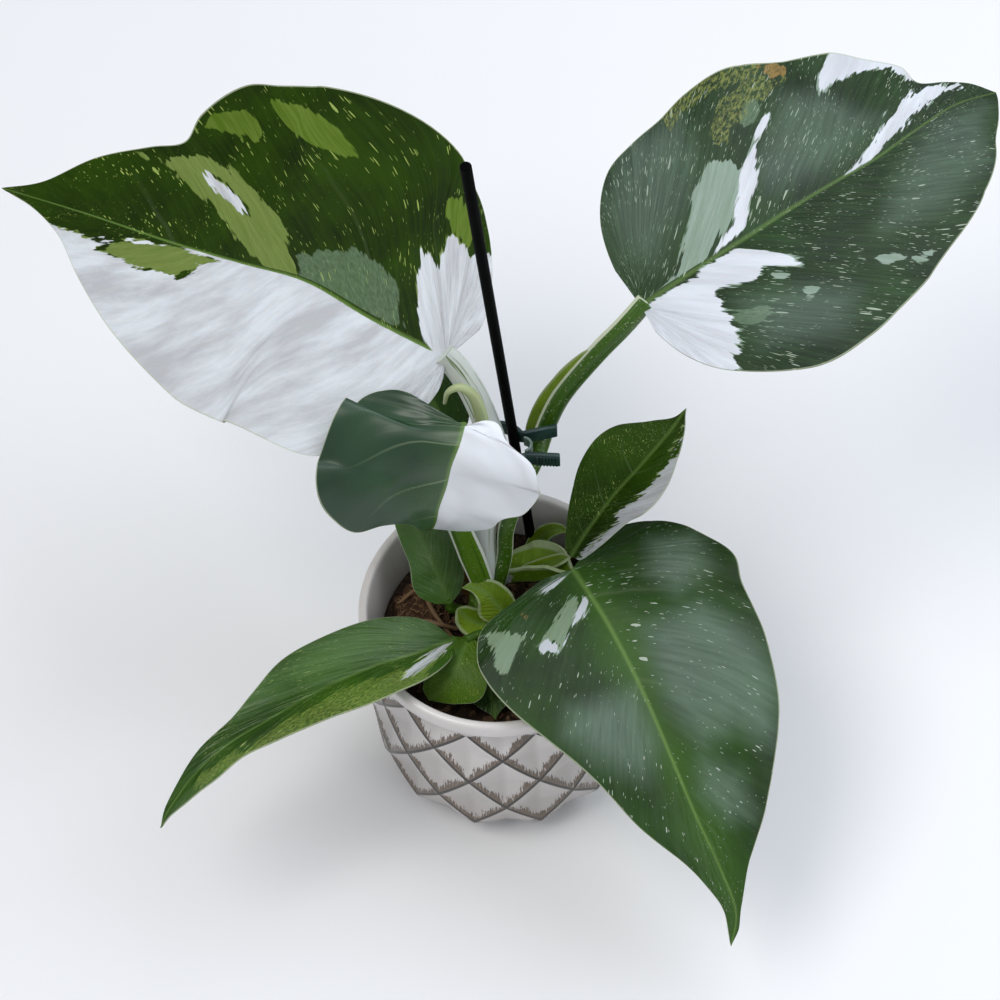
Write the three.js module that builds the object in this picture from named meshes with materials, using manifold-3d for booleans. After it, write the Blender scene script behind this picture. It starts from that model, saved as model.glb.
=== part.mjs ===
// Potted white wizard philodendron: a variegated aroid in a faceted white pot, held to a stake by a clip.
// Millimetres, +Z up. The origin is the centre of the pot's flat base, and +Y points away from the front.
import * as THREE from 'three';
import { mergeVertices } from 'three/addons/utils/BufferGeometryUtils.js';
import Module from 'manifold-3d';

const wasm = await Module();
wasm.setup();

// Driving dimensions
const GAP = 0.3;                      // between neighbours that touch on the real plant
const SLIVER = 0.02;                  // detail finer than this is dropped after a cut
const POT_HEIGHT = 120;
const RIM_RADIUS = 65;
const RIM_TALL = 9;                   // the plain band at the top of the pot
const DIAMONDS = 12;                  // diamonds round the pot
const FIRST_NODE = -108;              // direction of one ridge crossing of the top row, in degrees
const FACET_DEPTH = 4;                // how far each diamond's middle is sunk
const POT_SIDES = 48;
const FLOOR_THICK = 6;
const SOIL_TOP = 93;
const STAKE_FOOT = [22.1, 44, 48];
const STAKE_TOP = [1, 40, 392];
const STAKE_RADIUS = 2.4;
const STAKE_SIDES = 12;
const CLIP_LOW = 189;                 // underside of the clip
const CLIP_TALL = 8;
const CLIP_PIVOT = [17, 38];          // axis that the clip's far half opens about
const JAW_CENTRE = [6, 38];
const JAW_INSIDE = 11;
const JAW_WALL = 2.2;
const JAW_HEEL = 30;                  // where each half's jaw turns into its lever, in degrees
const JAW_SLIT = 1.7;                 // from each jaw's tip to the middle line, in degrees
const LEVER = { length: 16, root: 4.7, spread: 6.8, wall: 2.4 };
const SPRING = { reach: 80, outside: 4.3, inside: 3.1, inset: 0.8 };
const BLADE_THICK = 0.8;
const RIB = { row: 0.07, deep: 1.6, rise: 14 }; // where the midrib's ridge ends, its depth, and its run-in
const FINEST = 1.8;                   // points of a blade nearer its midrib than this are drawn into it
const LOBE_SHARE = 0.35;              // share of a margin whose veins leave from the stalk's end
const VEIN_SPREAD = 1.25;
const VEIN_BOW = 0.12;
const WAVE_REACH = 1.7;               // how quickly a wave of the margin dies out towards the midrib
const BLADE_ROWS = [0, RIB.row, 0.36, 0.7, 1];

// Finishes: colour, roughness
const FINISHES = {
  glazed_white: [0xe9e4df, 0.35],
  soil: [0x3b2a20, 0.95],
  bark: [0x7a5237, 0.9],
  root: [0xb59a78, 0.8],
  stem_green: [0x7d8a4a, 0.55],
  stalk_white: [0xd8dccb, 0.5],
  stalk_green: [0x4d7a24, 0.5],
  leaf_dark: [0x1f3d1b, 0.38],
  leaf_bright: [0x3d6d1a, 0.42],
  leaf_pied: [0x7f9a72, 0.42],
  leaf_dry: [0x9a6534, 0.8],
  clip_green: [0x223b37, 0.45],
  spring_grey: [0x6f8680, 0.4],
  stake_black: [0x0c0a0a, 0.5],
};

// Rings of the pot's outside, each [height, radius of the ridge crossings]
const LATTICE = [[104, 62], [84, 64], [61, 65], [36, 64.6], [14, 62.8]];
const BASE_RADIUS = 50;
// The rim from its underside over the top and down the inner wall, each [radius, height]
const NECK = [[60.4, 106.5], [61.2, 110]];
const RIM = [[64.2, POT_HEIGHT - RIM_TALL], [RIM_RADIUS, 113], [RIM_RADIUS, 117.5], [64, 119.4], [62.4, POT_HEIGHT],
  [60.8, 119.3]];
const INNER_WALL = [[60.2, 117.5], [58, 108], [56.4, SOIL_TOP], [55, 60], [52, 24], [44, FLOOR_THICK]];

// Each leaf: its midrib from the stalk to the tip, the way its upper face looks at the base, middle and tip,
// and for each half the fold up from flat (degrees), the curl on the way out (degrees in 100 mm), the margin as
// [part of the midrib, distance out], and any waves of the margin as [place on the margin, width, height].
const LEAVES = {
  broad_left: {
    finish: 'leaf_pied', columns: 22,
    midrib: [[-14, 57, 240], [-45, 76, 246], [-73, 98, 248], [-102, 112, 247], [-133, 128, 245], [-171, 150, 242],
      [-212, 174, 236]],
    facing: [[0.1, -0.02, 1], [0.02, -0.08, 1], [-0.1, -0.05, 1]],
    right: {
      fold: [22, 18, 8], curl: [-16, -16, -20], waves: [[0.66, 0.05, -4]],
      margin: [[0, 0], [-0.03, 18], [-0.01, 38], [0.05, 61], [0.13, 77], [0.3, 91], [0.44, 92], [0.58, 88],
        [0.68, 84], [0.74, 66], [0.738, 48], [0.79, 40], [0.87, 27], [0.935, 9], [1, 0]],
    },
    left: {
      fold: [-4, 2, 2], curl: [-30, -22, -20], waves: [[0.46, 0.05, 2.5], [0.64, 0.05, -2.5]],
      margin: [[0, 0], [-0.015, 9], [-0.02, 17], [-0.01, 28], [0.03, 42], [0.08, 56], [0.13, 68], [0.22, 73],
        [0.36, 75], [0.48, 72], [0.61, 60], [0.7, 48], [0.79, 31], [0.86, 15], [0.93, 5], [1, 0]],
    },
  },
  broad_right: {
    finish: 'leaf_dark', columns: 22,
    midrib: [[72, 62, 260], [99, 76, 266], [123, 90, 268], [143, 103, 268], [164, 117, 266], [183, 130, 263],
      [203, 147, 259], [224, 164, 254], [245, 175, 247]],
    facing: [[0, -0.05, 1], [0.03, -0.1, 1], [0.12, -0.1, 1]],
    right: {
      fold: [10, 8, 4], curl: [-16, -20, -24], waves: [[0.3, 0.06, 3], [0.55, 0.06, -2]],
      margin: [[0, 0], [-0.01, 15], [0.01, 36], [0.06, 54], [0.16, 72], [0.28, 72], [0.39, 68], [0.5, 62],
        [0.62, 53], [0.74, 44], [0.85, 32], [0.94, 18], [0.985, 6], [1, 0]],
    },
    left: {
      fold: [12, 10, 6], curl: [-16, -20, -24], waves: [[0.45, 0.06, 3], [0.7, 0.05, -3]],
      margin: [[0, 0], [0, 20], [0.03, 43], [0.09, 60], [0.17, 66], [0.26, 69], [0.36, 73], [0.46, 73], [0.56, 66],
        [0.67, 62], [0.75, 54], [0.8, 45], [0.84, 30], [0.84, 18], [0.89, 12], [0.95, 7], [1, 0]],
    },
  },
  drooping: {
    finish: 'leaf_pied', columns: 18,
    midrib: [[-8, 16, 247], [-11, 9, 243], [-15, 5, 234], [-18, 3, 221], [-22, 1, 208], [-24, 2, 195],
      [-26, 7, 181], [-27, 16, 170]],
    facing: [[-0.2, -0.3, 1], [-0.2, -1, 0.3], [0, -1, -1]],
    right: {
      fold: [4, 14, 20], curl: [-24, -10, 0],
      margin: [[0, 0], [-0.085, 27], [-0.06, 41], [0.02, 50], [0.16, 53], [0.3, 55], [0.44, 57],
        [0.54, 55], [0.62, 46], [0.69, 36], [0.67, 24], [0.69, 13], [0.8, 6], [1, 0]],
    },
    left: {
      fold: [-14, 4, 10], curl: [-24, -14, -10],
      margin: [[0, 0], [-0.05, 7], [-0.05, 14], [0.05, 21], [0.12, 32], [0.2, 38], [0.34, 40], [0.45, 36],
        [0.52, 28], [0.68, 25], [0.8, 16], [0.9, 7], [1, 0]],
    },
  },
  upright_right: {
    finish: 'leaf_pied', columns: 14, lobe: 0.1,
    midrib: [[36, 14, 134.6], [44, 21, 144], [57, 31, 157], [71, 40, 168], [86, 53, 176], [93, 61, 180]],
    facing: [[-0.35, -0.35, 1], [-0.35, -0.5, 1], [-0.3, -0.5, 1]],
    right: {
      fold: [30, 42, 20], curl: [-20, -20, -10],
      margin: [[0, 0], [0.03, 6], [0.2, 13], [0.38, 20], [0.5, 26], [0.6, 23], [0.7, 15], [0.8, 8], [0.9, 3],
        [1, 0]],
    },
    left: {
      fold: [20, 28, 15], curl: [-40, -40, -20],
      margin: [[0, 0], [0.02, 4], [0.15, 9], [0.3, 16], [0.43, 22], [0.55, 24], [0.65, 21], [0.75, 11], [0.86, 3],
        [1, 0]],
    },
  },
  low_right: {
    finish: 'leaf_dark', columns: 22,
    midrib: [[36, 10, 130], [42, -4, 132], [49, -20, 132], [57, -40, 129], [65, -61, 123], [74, -86, 112],
      [82, -106, 99], [91, -125, 84], [97, -141, 70], [94, -153, 58]],
    facing: [[0, -0.15, 1], [0.1, -0.35, 1], [0.2, -0.8, 0.6]],
    right: {
      fold: [14, 8, 4], curl: [-20, -24, -24], waves: [[0.35, 0.05, 2]],
      margin: [[0, 0], [0, 14], [0.04, 32], [0.09, 53], [0.17, 62], [0.25, 63], [0.34, 58], [0.44, 48],
        [0.54, 35], [0.64, 26], [0.74, 14], [0.84, 7], [0.93, 4], [1, 0]],
    },
    left: {
      fold: [12, 8, 4], curl: [-20, -24, -24], waves: [[0.5, 0.04, -3]],
      margin: [[0, 0], [-0.03, 14], [-0.035, 27], [0, 43], [0.07, 54], [0.15, 61], [0.22, 67], [0.28, 64],
        [0.34, 64], [0.42, 62], [0.52, 56], [0.62, 44], [0.71, 31], [0.79, 14], [0.88, 3], [0.95, 1.8], [1, 0]],
    },
  },
  low_left: {
    finish: 'leaf_bright', columns: 18,
    midrib: [[-21, -14, 115], [-40, -23, 120], [-60, -30, 123], [-82, -39, 123], [-104, -49, 120],
      [-126, -58, 114], [-143, -68, 106], [-156, -79, 96], [-162, -86, 89]],
    facing: [[0, -0.1, 1], [-0.1, -0.1, 1], [-0.4, -0.3, 0.8]],
    right: {
      fold: [30, 36, 20], curl: [-60, -60, -40],
      margin: [[0, 0], [0.04, 10], [0.1, 17], [0.2, 21], [0.32, 22], [0.43, 21], [0.52, 15], [0.6, 9], [0.7, 7],
        [0.8, 4], [0.9, 2], [1, 0]],
    },
    left: {
      fold: [40, 40, 20], curl: [-50, -50, -40],
      margin: [[0, 0], [0.05, 13], [0.12, 21], [0.2, 25], [0.3, 27], [0.4, 24], [0.5, 20], [0.6, 15], [0.7, 14],
        [0.8, 9], [0.9, 3], [1, 0]],
    },
  },
  small_middle: {
    finish: 'leaf_bright', columns: 10,
    midrib: [[-22, 7, 112], [-26, 15, 122], [-30, 22, 132], [-35, 32, 140], [-40, 42, 147], [-46, 60, 150]],
    facing: [[0.2, -0.6, 0.8], [0.1, -0.4, 1], [0, -0.3, 1]],
    right: {
      fold: [8, 8, 4], curl: [-20, -20, -20],
      margin: [[0, 0], [0.05, 6], [0.15, 11], [0.3, 13], [0.5, 13], [0.7, 11], [0.85, 6], [1, 0]],
    },
    left: {
      fold: [8, 8, 4], curl: [-20, -20, -20],
      margin: [[0, 0], [0.05, 6], [0.15, 12], [0.27, 13], [0.42, 10], [0.6, 9], [0.8, 6], [1, 0]],
    },
  },
  small_front: {
    finish: 'leaf_bright', columns: 10,
    midrib: [[-14, -15, 118], [-18, -25, 120], [-22, -33, 118], [-27, -37, 112], [-35, -38, 103]],
    facing: [[-0.2, -0.5, 1], [-0.3, -0.6, 1], [-0.5, -0.9, 0.5]],
    right: {
      fold: [8, 8, 4], curl: [-30, -30, -20],
      margin: [[0, 0], [0.1, 5], [0.25, 8], [0.45, 9], [0.65, 10], [0.85, 9], [0.95, 6], [1, 0]],
    },
    left: {
      fold: [8, 8, 4], curl: [-30, -30, -20],
      margin: [[0, 0], [0.06, 6], [0.2, 10], [0.38, 14], [0.5, 17], [0.62, 16], [0.75, 10], [0.9, 4], [1, 0]],
    },
  },
  shaded_front: {
    finish: 'leaf_dark', columns: 10,
    midrib: [[-8, -14, 99], [-7, -26, 103], [-6, -37, 102], [-5, -48, 97]],
    facing: [[0, -0.2, 1], [0, -0.3, 1], [0, -0.5, 1]],
    right: {
      fold: [12, 10, 6], curl: [-30, -30, -20],
      margin: [[0, 0], [0, 6], [0.1, 11], [0.3, 14], [0.55, 13], [0.78, 8], [0.92, 2], [1, 0]],
    },
    left: {
      fold: [12, 10, 6], curl: [-30, -30, -20],
      margin: [[0, 0], [0, 6], [0.1, 11], [0.3, 14], [0.55, 13], [0.78, 8], [0.92, 2], [1, 0]],
    },
  },
  small_back: {
    finish: 'leaf_dark', columns: 10,
    midrib: [[-16, 54, 183], [-20, 60, 194], [-25, 67, 204], [-30, 73, 211], [-34, 78, 214]],
    facing: [[0.2, -0.8, 0.6], [0.1, -0.6, 0.8], [0, -0.5, 1]],
    right: {
      fold: [10, 8, 4], curl: [-30, -30, -20],
      margin: [[0, 0], [0, 7], [0.1, 12], [0.3, 15], [0.55, 13], [0.8, 6], [0.92, 2], [1, 0]],
    },
    left: {
      fold: [10, 8, 4], curl: [-30, -30, -20],
      margin: [[0, 0], [0, 7], [0.1, 12], [0.3, 15], [0.55, 13], [0.8, 6], [0.92, 2], [1, 0]],
    },
  },
};

// Stalks of the leaves, from the crown to just inside the blade: the route, and half widths along it
const STALKS = {
  broad_left: {
    finish: 'stalk_white', wide: [6, 6, 6, 6, 5.6], deep: [5.2, 5.2, 5.2, 5, 4.2], up: [0, -1, 0.3],
    route: [[-4, 17, 114], [-4, 26, 142], [-1, 33, 170], [4, 36, 195], [1, 42, 212], [-4, 49, 226], [-10, 55, 236],
      [-15, 58, 242]],
  },
  broad_right: {
    finish: 'stalk_green', up: [0, -1, 0.5],
    wide: [3.6, 3.8, 4.4, 4.6, 4.6, 4.4], deep: [3.4, 3.6, 4, 4.2, 4.2, 3.6],
    route: [[0, 14, 111], [5, 20, 130], [7, 24, 149], [14, 32, 166], [23, 43, 179], [29, 53, 189], [37, 56, 208],
      [52, 56, 236], [64, 58, 252], [74, 63, 262]],
  },
  drooping: {
    finish: 'stalk_green', wide: [5, 6, 5, 3.4, 3], deep: [2.6, 2.4, 2.4, 2.6, 2.4], up: [0, -1, 0.5],
    route: [[-5, 10, 111], [-7, 13, 125], [-11, 16, 145], [-15, 18, 168], [-17, 24, 195], [-16, 29, 222],
      [-12, 26, 240], [-8, 17, 249]],
  },
  low_left: {
    finish: 'stalk_green', wide: [4, 3.4, 3], deep: [3, 2.8, 2.6], up: [0, 0, 1],
    route: [[-6, -2, 97], [-12, -9, 103], [-17, -13, 109], [-22, -15, 115]],
  },
  small_middle: {
    finish: 'stalk_green', wide: [3, 2.6, 2.2], deep: [2.6, 2.4, 2], up: [0, 0, 1],
    route: [[-9, 7, 99], [-17, 9, 102], [-22, 8, 107], [-23, 10, 114]],
  },
  small_front: {
    finish: 'stalk_green', wide: [3, 2.6, 2.2], deep: [2.6, 2.4, 2], up: [0, 0, 1],
    route: [[-3, -1, 102], [-5, -9, 110], [-10, -13, 116], [-16, -17, 119]],
  },
  shaded_front: {
    finish: 'stalk_green', wide: [3, 2.6, 2], deep: [2.4, 2.2, 1.8], up: [0, 0, 1],
    route: [[-4, -1, 95.5], [-5, -8, 96.5], [-8, -15, 99.5]],
  },
  small_back: {
    finish: 'stalk_green', wide: [3, 2.6, 2.2, 2], deep: [3, 2.6, 2.2, 2], up: [0, -1, 0.3],
    route: [[-7, 17, 108], [-13, 34, 136], [-16, 46, 160], [-16, 52, 178], [-18, 57, 188]],
  },
};

// Channelled stalks and the leafy sheaths, each a thin strip with its own midrib and halves
const SHEATHS = {
  low_right_stalk: {
    finish: 'stalk_green', columns: 12, thick: 1.6,
    midrib: [[0, 17, 109], [10, 17, 112], [20, 15, 114.5], [30, 13, 120.5], [36.8, 8, 129.8]],
    facing: [[0, 0.1, 1], [0, 0.1, 1], [-0.3, 0, 1]],
    right: {
      fold: [92, 95, 90, 60], curl: [0, 20, 0],
      margin: [[0, 0], [0, 6], [0.12, 9], [0.27, 8], [0.42, 9.5], [0.6, 9.5], [0.78, 8.5], [0.92, 5], [1, 0]],
    },
    left: {
      fold: [38, 42, 30], curl: [50, 50, 0],
      margin: [[0, 0], [0, 5], [0.12, 9], [0.28, 15], [0.46, 18], [0.64, 18], [0.8, 13], [0.92, 5], [1, 0]],
    },
  },
  upright_right_stalk: {
    finish: 'leaf_bright', columns: 6, thick: 1.2,
    midrib: [[14, 19, 116.5], [21, 18.5, 120], [28, 17, 126], [35.4, 14.6, 133.8]],
    facing: [[0, -0.3, 1], [0, -0.3, 1], [0, -0.2, 1]],
    right: { fold: [20, 25, 30], curl: [60, 60, 0], margin: [[0, 0], [0, 2.5], [0.4, 3.4], [0.85, 3], [1, 0]] },
    left: { fold: [30, 35, 30], curl: [30, 30, 0], margin: [[0, 0], [0, 3], [0.4, 4], [0.85, 3], [1, 0]] },
  },
  broad_right_sheath: {
    finish: 'leaf_bright', columns: 10, thick: 0.9,
    midrib: [[21, 51, 177], [25, 54, 187], [31, 56, 200], [38, 56, 214], [44, 56, 227], [50, 56, 240]],
    facing: [[-0.4, -0.8, 0.3], [-0.4, -0.8, 0.4], [-0.4, -0.8, 0.4]],
    right: { fold: [0, 0, 0], curl: [20, 20, 20], margin: [[0, 0], [0, 3], [0.3, 5], [0.7, 4], [0.9, 2], [1, 0]] },
    left: { fold: [10, 10, 5], curl: [60, 60, 30], margin: [[0, 0], [0, 3], [0.3, 6], [0.65, 6], [0.9, 3], [1, 0]] },
  },
  ear_sheath: {
    finish: 'leaf_bright', columns: 10, thick: 0.9,
    midrib: [[-2, -3, 105], [-8, -2, 106.5], [-14, 0, 109], [-19, 3, 114]],
    facing: [[-0.1, -0.3, 1], [0, -0.4, 1], [0.2, -0.4, 1]],
    right: {
      fold: [20, 20, 15], curl: [200, 200, 100],
      margin: [[0, 0], [0, 4], [0.25, 6.5], [0.55, 7], [0.85, 5], [0.97, 2], [1, 0]],
    },
    left: {
      fold: [20, 20, 15], curl: [200, 200, 100],
      margin: [[0, 0], [0, 4], [0.25, 8], [0.55, 9], [0.85, 6], [0.97, 2], [1, 0]],
    },
  },
  pointed_sheath: {
    finish: 'leaf_bright', columns: 12, thick: 0.9,
    midrib: [[6, -1, 107], [1, 2, 114], [-4, 6, 120], [-10, 9, 122], [-16, 10, 121]],
    facing: [[-0.3, -0.8, 0.8], [-0.2, -0.6, 1], [-0.1, -0.4, 1]],
    right: {
      fold: [10, 10, 5], curl: [-60, -60, -60],
      margin: [[0, 0], [0, 5], [0.3, 9], [0.5, 8], [0.7, 4.5], [0.88, 1.6], [1, 0]],
    },
    left: {
      fold: [10, 10, 5], curl: [-60, -60, -60],
      margin: [[0, 0], [0, 5], [0.3, 10], [0.5, 7], [0.7, 3.5], [0.88, 1.4], [1, 0]],
    },
  },
  back_sheath: {
    finish: 'leaf_bright', columns: 10, thick: 0.9,
    midrib: [[14, 28, 97], [20, 38, 106], [26, 40, 115], [32, 39, 119], [37, 37, 118]],
    facing: [[-0.6, -0.6, 0.6], [-0.4, -0.5, 0.9], [0.1, -0.4, 1]],
    right: { fold: [20, 20, 10], curl: [100, 100, 60], margin: [[0, 0], [0, 3], [0.3, 5], [0.7, 3], [1, 0]] },
    left: { fold: [20, 20, 10], curl: [100, 100, 60], margin: [[0, 0], [0, 3], [0.3, 5], [0.7, 3], [1, 0]] },
  },
  dried_sheath: {
    finish: 'leaf_dry', columns: 10, thick: 0.9,
    midrib: [[-11, 17, 98], [-15, 26, 106], [-17, 30, 114], [-21, 33, 119], [-27, 35, 119]],
    facing: [[-0.5, -0.6, 0.6], [-0.4, -0.6, 0.8], [-0.2, -0.5, 1]],
    right: { fold: [30, 20, 10], curl: [200, 200, 100], margin: [[0, 0], [0, 2], [0.3, 5], [0.7, 3], [1, 0]] },
    left: { fold: [30, 20, 10], curl: [200, 200, 100], margin: [[0, 0], [0, 2], [0.3, 5], [0.7, 3], [1, 0]] },
  },
};

// The rolled new leaf, the crown that the stalks grow from, and the roots that lie over the root ball
const SPEAR = {
  finish: 'stalk_white', up: [0, -1, 0],
  wide: [2.2, 3.2, 3.2, 2.8, 2.2, 1.4, 0.7], deep: [2, 2.8, 2.8, 2.4, 2, 1.4, 0.7],
  route: [[3, 28.5, 184], [2, 26, 203], [0, 27, 222], [-1, 29, 238], [-4, 31, 249], [-9, 32, 253],
    [-14, 32, 250], [-16, 32, 242]],
};
const CROWN = {
  wide: [9, 9.5, 8.5, 6], deep: [9, 9.5, 8, 5.5], sides: 12,
  route: [[-6, 4, 74], [-5, 8, 95], [-4, 11, 108], [-3, 13, 119]],
};
const ROOTS = [
  [[-20, 2, 97], [-28, 2, 102.5], [-36, 4, 103], [-45, 2, 98]],
  [[-19, 14, 97], [-27, 20, 103], [-37, 22, 102.5], [-47, 18, 97]],
  [[-22, -2, 95], [-30, 8, 103], [-33, 18, 102.5], [-31, 29, 96]],
];
const ROOT_SECTION = { wide: [1, 1.2, 1], deep: [1, 1.2, 1], sides: 5 };
const ROOT_BALL = { middle: [-35, 13, 93], half: [13, 17, 9] };

// Small helpers
const vector = (p) => new THREE.Vector3(p[0], p[1], p[2]);
const radians = (degrees) => (degrees * Math.PI) / 180;
const clamp = (x) => Math.min(1, Math.max(0, x));

/** The value at t along evenly spaced values. */
function along(values, t) {
  const place = clamp(t) * (values.length - 1);
  const i = Math.min(Math.floor(place), values.length - 2);
  return values[i] + (values[i + 1] - values[i]) * (place - i);
}

/** A smooth curve through the points, with t from 0 to 1 spread evenly over them. */
function curveThrough(points) {
  const curve = new THREE.CatmullRomCurve3(points.map(vector), false, 'catmullrom', 0.5);
  return (t) => curve.getPoint(clamp(t));
}

function meshGeometry(points, triangles) {
  const geometry = new THREE.BufferGeometry();
  geometry.setAttribute('position', new THREE.Float32BufferAttribute(points.flatMap((p) => [p.x, p.y, p.z]), 3));
  geometry.setIndex(triangles.flat());
  return geometry;
}

/** Boolean form of a closed geometry. */
function toSolid(geometry) {
  const bare = geometry.clone();
  bare.deleteAttribute('normal');
  bare.deleteAttribute('uv');
  const merged = mergeVertices(bare, 1e-4);
  return new wasm.Manifold(new wasm.Mesh({
    numProp: 3,
    vertProperties: new Float32Array(merged.attributes.position.array),
    triVerts: new Uint32Array(merged.index.array),
  }));
}

/** Geometry of the largest body of a boolean result, without its slivers. */
function fromSolid(solid) {
  const [largest] = solid.simplify(SLIVER).decompose().sort((a, b) => b.volume() - a.volume());
  const mesh = largest.getMesh();
  const geometry = new THREE.BufferGeometry();
  geometry.setAttribute('position', new THREE.BufferAttribute(mesh.vertProperties, 3));
  geometry.setIndex(new THREE.BufferAttribute(mesh.triVerts, 1));
  return geometry;
}

/** A stalk of oval section along a route, closed at both ends, and larger all round by more. */
function stalk({ route, wide, deep, up = [0, 0, 1], sides = 8 }, more = 0) {
  const at = curveThrough(route);
  const steps = 2 * (route.length - 1);
  const points = [];
  const triangles = [];
  for (let i = 0; i <= steps; i += 1) {
    const t = i / steps;
    const heading = at(Math.min(1, t + 0.01)).sub(at(Math.max(0, t - 0.01))).normalize();
    const side = heading.clone().cross(vector(up)).normalize();
    const top = side.clone().cross(heading);
    const centre = at(t);
    if (i === 0) centre.addScaledVector(heading, -more);
    if (i === steps) centre.addScaledVector(heading, more);
    for (let k = 0; k < sides; k += 1) {
      const angle = (2 * Math.PI * k) / sides;
      points.push(centre.clone()
        .addScaledVector(side, Math.cos(angle) * (along(wide, t) + more))
        .addScaledVector(top, Math.sin(angle) * (along(deep, t) + more)));
    }
  }
  for (let i = 0; i < steps; i += 1) {
    for (let k = 0; k < sides; k += 1) {
      const a = i * sides + k;
      const b = i * sides + ((k + 1) % sides);
      triangles.push([a, b + sides, b], [a, a + sides, b + sides]);
    }
  }
  for (let k = 1; k < sides - 1; k += 1) {
    triangles.push([0, k, k + 1], [steps * sides, steps * sides + k + 1, steps * sides + k]);
  }
  return meshGeometry(points, triangles);
}

/** The frame of a leaf at u along its midrib: centre, the way out to the right, and the way its face looks. */
function leafFrame(leaf, at, length, u) {
  const middle = Math.min(1 - 1e-3, Math.max(1e-3, u));
  const heading = at(middle + 1e-3).sub(at(middle - 1e-3)).normalize();
  const facing = new THREE.Vector3(...[0, 1, 2].map((axis) => along(leaf.facing.map((n) => n[axis]), u)));
  const out = heading.clone().cross(facing).normalize();
  const face = out.clone().cross(heading);
  const past = Math.min(u, 0) + Math.max(u - 1, 0);
  const centre = at(u).addScaledVector(heading, past * length);
  return { centre, out, face };
}

/** One half of a blade, wider all round by more, as a grid of points whose rows run from midrib to margin. */
function halfGrid(leaf, half, side, columns, rows, more) {
  const at = curveThrough(leaf.midrib);
  const margin = curveThrough(half.margin.map(([u, v]) => [u, v, 0]));
  let length = 0;
  for (let i = 0; i < 100; i += 1) length += at(i / 100).distanceTo(at((i + 1) / 100));
  const grid = [];
  const first = 1 / (half.margin.length - 1);  // the first column of points is the edge at the stalk
  const spread = more / length;
  const lobe = leaf.lobe ?? (leaf.thick ? 0 : LOBE_SHARE);
  for (let i = 0; i <= columns; i += 1) {
    const step = i / columns;
    const a = first + (1 - first) * step;
    const edge = margin(a).add(new THREE.Vector3((2 * a - 1) * spread, more, 0));
    const root = clamp((step - lobe) / (1 - lobe)) ** VEIN_SPREAD * (1 + 2 * spread) - spread;
    const bow = VEIN_BOW * clamp(step / LOBE_SHARE) ** 2;
    const bendU = root + (edge.x - root) / 2 - (bow * edge.y) / length;
    const waves = half.waves ?? [];
    grid.push(rows.map((r) => {
      const u = (1 - r) ** 2 * root + 2 * r * (1 - r) * bendU + r * r * edge.x;
      const v = r * (1 - r) * edge.y + r * r * edge.y;
      const lift = waves.reduce((sum, [place, wide, high]) => (
        sum + high * Math.exp(-(((a - place) / wide) ** 2)) * r ** WAVE_REACH), 0);
      const fold = radians(along(half.fold, u));
      const curl = radians(along(half.curl, u)) / 100 || 1e-6;
      const { centre, out, face } = leafFrame(leaf, at, length, u);
      return centre
        .addScaledVector(out, (side * (Math.sin(fold + curl * v) - Math.sin(fold))) / curl)
        .addScaledVector(face, (Math.cos(fold) - Math.cos(fold + curl * v)) / curl + lift);
    }));
  }
  return grid;
}

/** A leaf blade or sheath as one closed body, larger all round by more; a leaf's midrib stands out below. */
function blade(leaf, more = 0) {
  const points = [];
  const ribs = [];
  const keys = new Map();
  const index = (point, rib) => {
    const key = point.toArray().map((x) => Math.round(x * 200)).join();
    if (!keys.has(key)) {
      keys.set(key, points.length);
      points.push(point);
      ribs.push(rib);
    }
    return keys.get(key);
  };
  const faces = [];
  const addFace = (...corners) => {
    if (new Set(corners).size === 3) faces.push(corners);
  };
  for (const [half, side] of [[leaf.right, 1], [leaf.left, -1]]) {
    const bare = halfGrid(leaf, half, side, leaf.columns, BLADE_ROWS, 0);
    const grid = halfGrid(leaf, half, side, leaf.columns, BLADE_ROWS, more);
    const ids = grid.map((column, i) => column.map((point, j) => {
      const onMidrib = bare[i][j].distanceTo(bare[i][0]) < FINEST;
      const rib = RIB.deep * clamp(column[0].distanceTo(grid[0][0]) / RIB.rise) * (1 - i / leaf.columns);
      return index(onMidrib ? column[0] : point, onMidrib ? rib : 0);
    }));
    for (let i = 0; i < leaf.columns; i += 1) {
      for (let j = 0; j < BLADE_ROWS.length - 1; j += 1) {
        const quad = [ids[i][j], ids[i][j + 1], ids[i + 1][j + 1], ids[i + 1][j]];
        if (side > 0) quad.reverse();
        addFace(quad[0], quad[2], quad[1]);
        addFace(quad[0], quad[3], quad[2]);
      }
    }
  }
  return thicken(points, faces, leaf.thick ?? BLADE_THICK, leaf.thick ? ribs.map(() => 0) : ribs, more);
}

/** Gives a sheet of triangles its thickness, with the same triangles above and below and a strip at the edge. */
function thicken(points, faces, thick, ribs, more) {
  const normals = points.map(() => new THREE.Vector3());
  const edges = new Map();
  for (const [a, b, c] of faces) {
    const normal = points[b].clone().sub(points[a]).cross(points[c].clone().sub(points[a]));
    [a, b, c].forEach((corner) => normals[corner].add(normal));
    [[a, b], [b, c], [c, a]].forEach(([from, to]) => edges.set(`${from},${to}`, [from, to]));
  }
  normals.forEach((normal) => normal.normalize());
  const count = points.length;
  const triangles = faces.flatMap(([a, b, c]) => [[a, b, c], [a + count, c + count, b + count]]);
  for (const [from, to] of edges.values()) {
    if (!edges.has(`${to},${from}`)) {
      triangles.push([from, from + count, to + count], [from, to + count, to]);
    }
  }
  const half = thick / 2 + more;
  const above = points.map((point, i) => point.clone().addScaledVector(normals[i], half));
  const below = points.map((point, i) => point.clone().addScaledVector(normals[i], -half - ribs[i]));
  return meshGeometry([...above, ...below], triangles);
}

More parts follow.
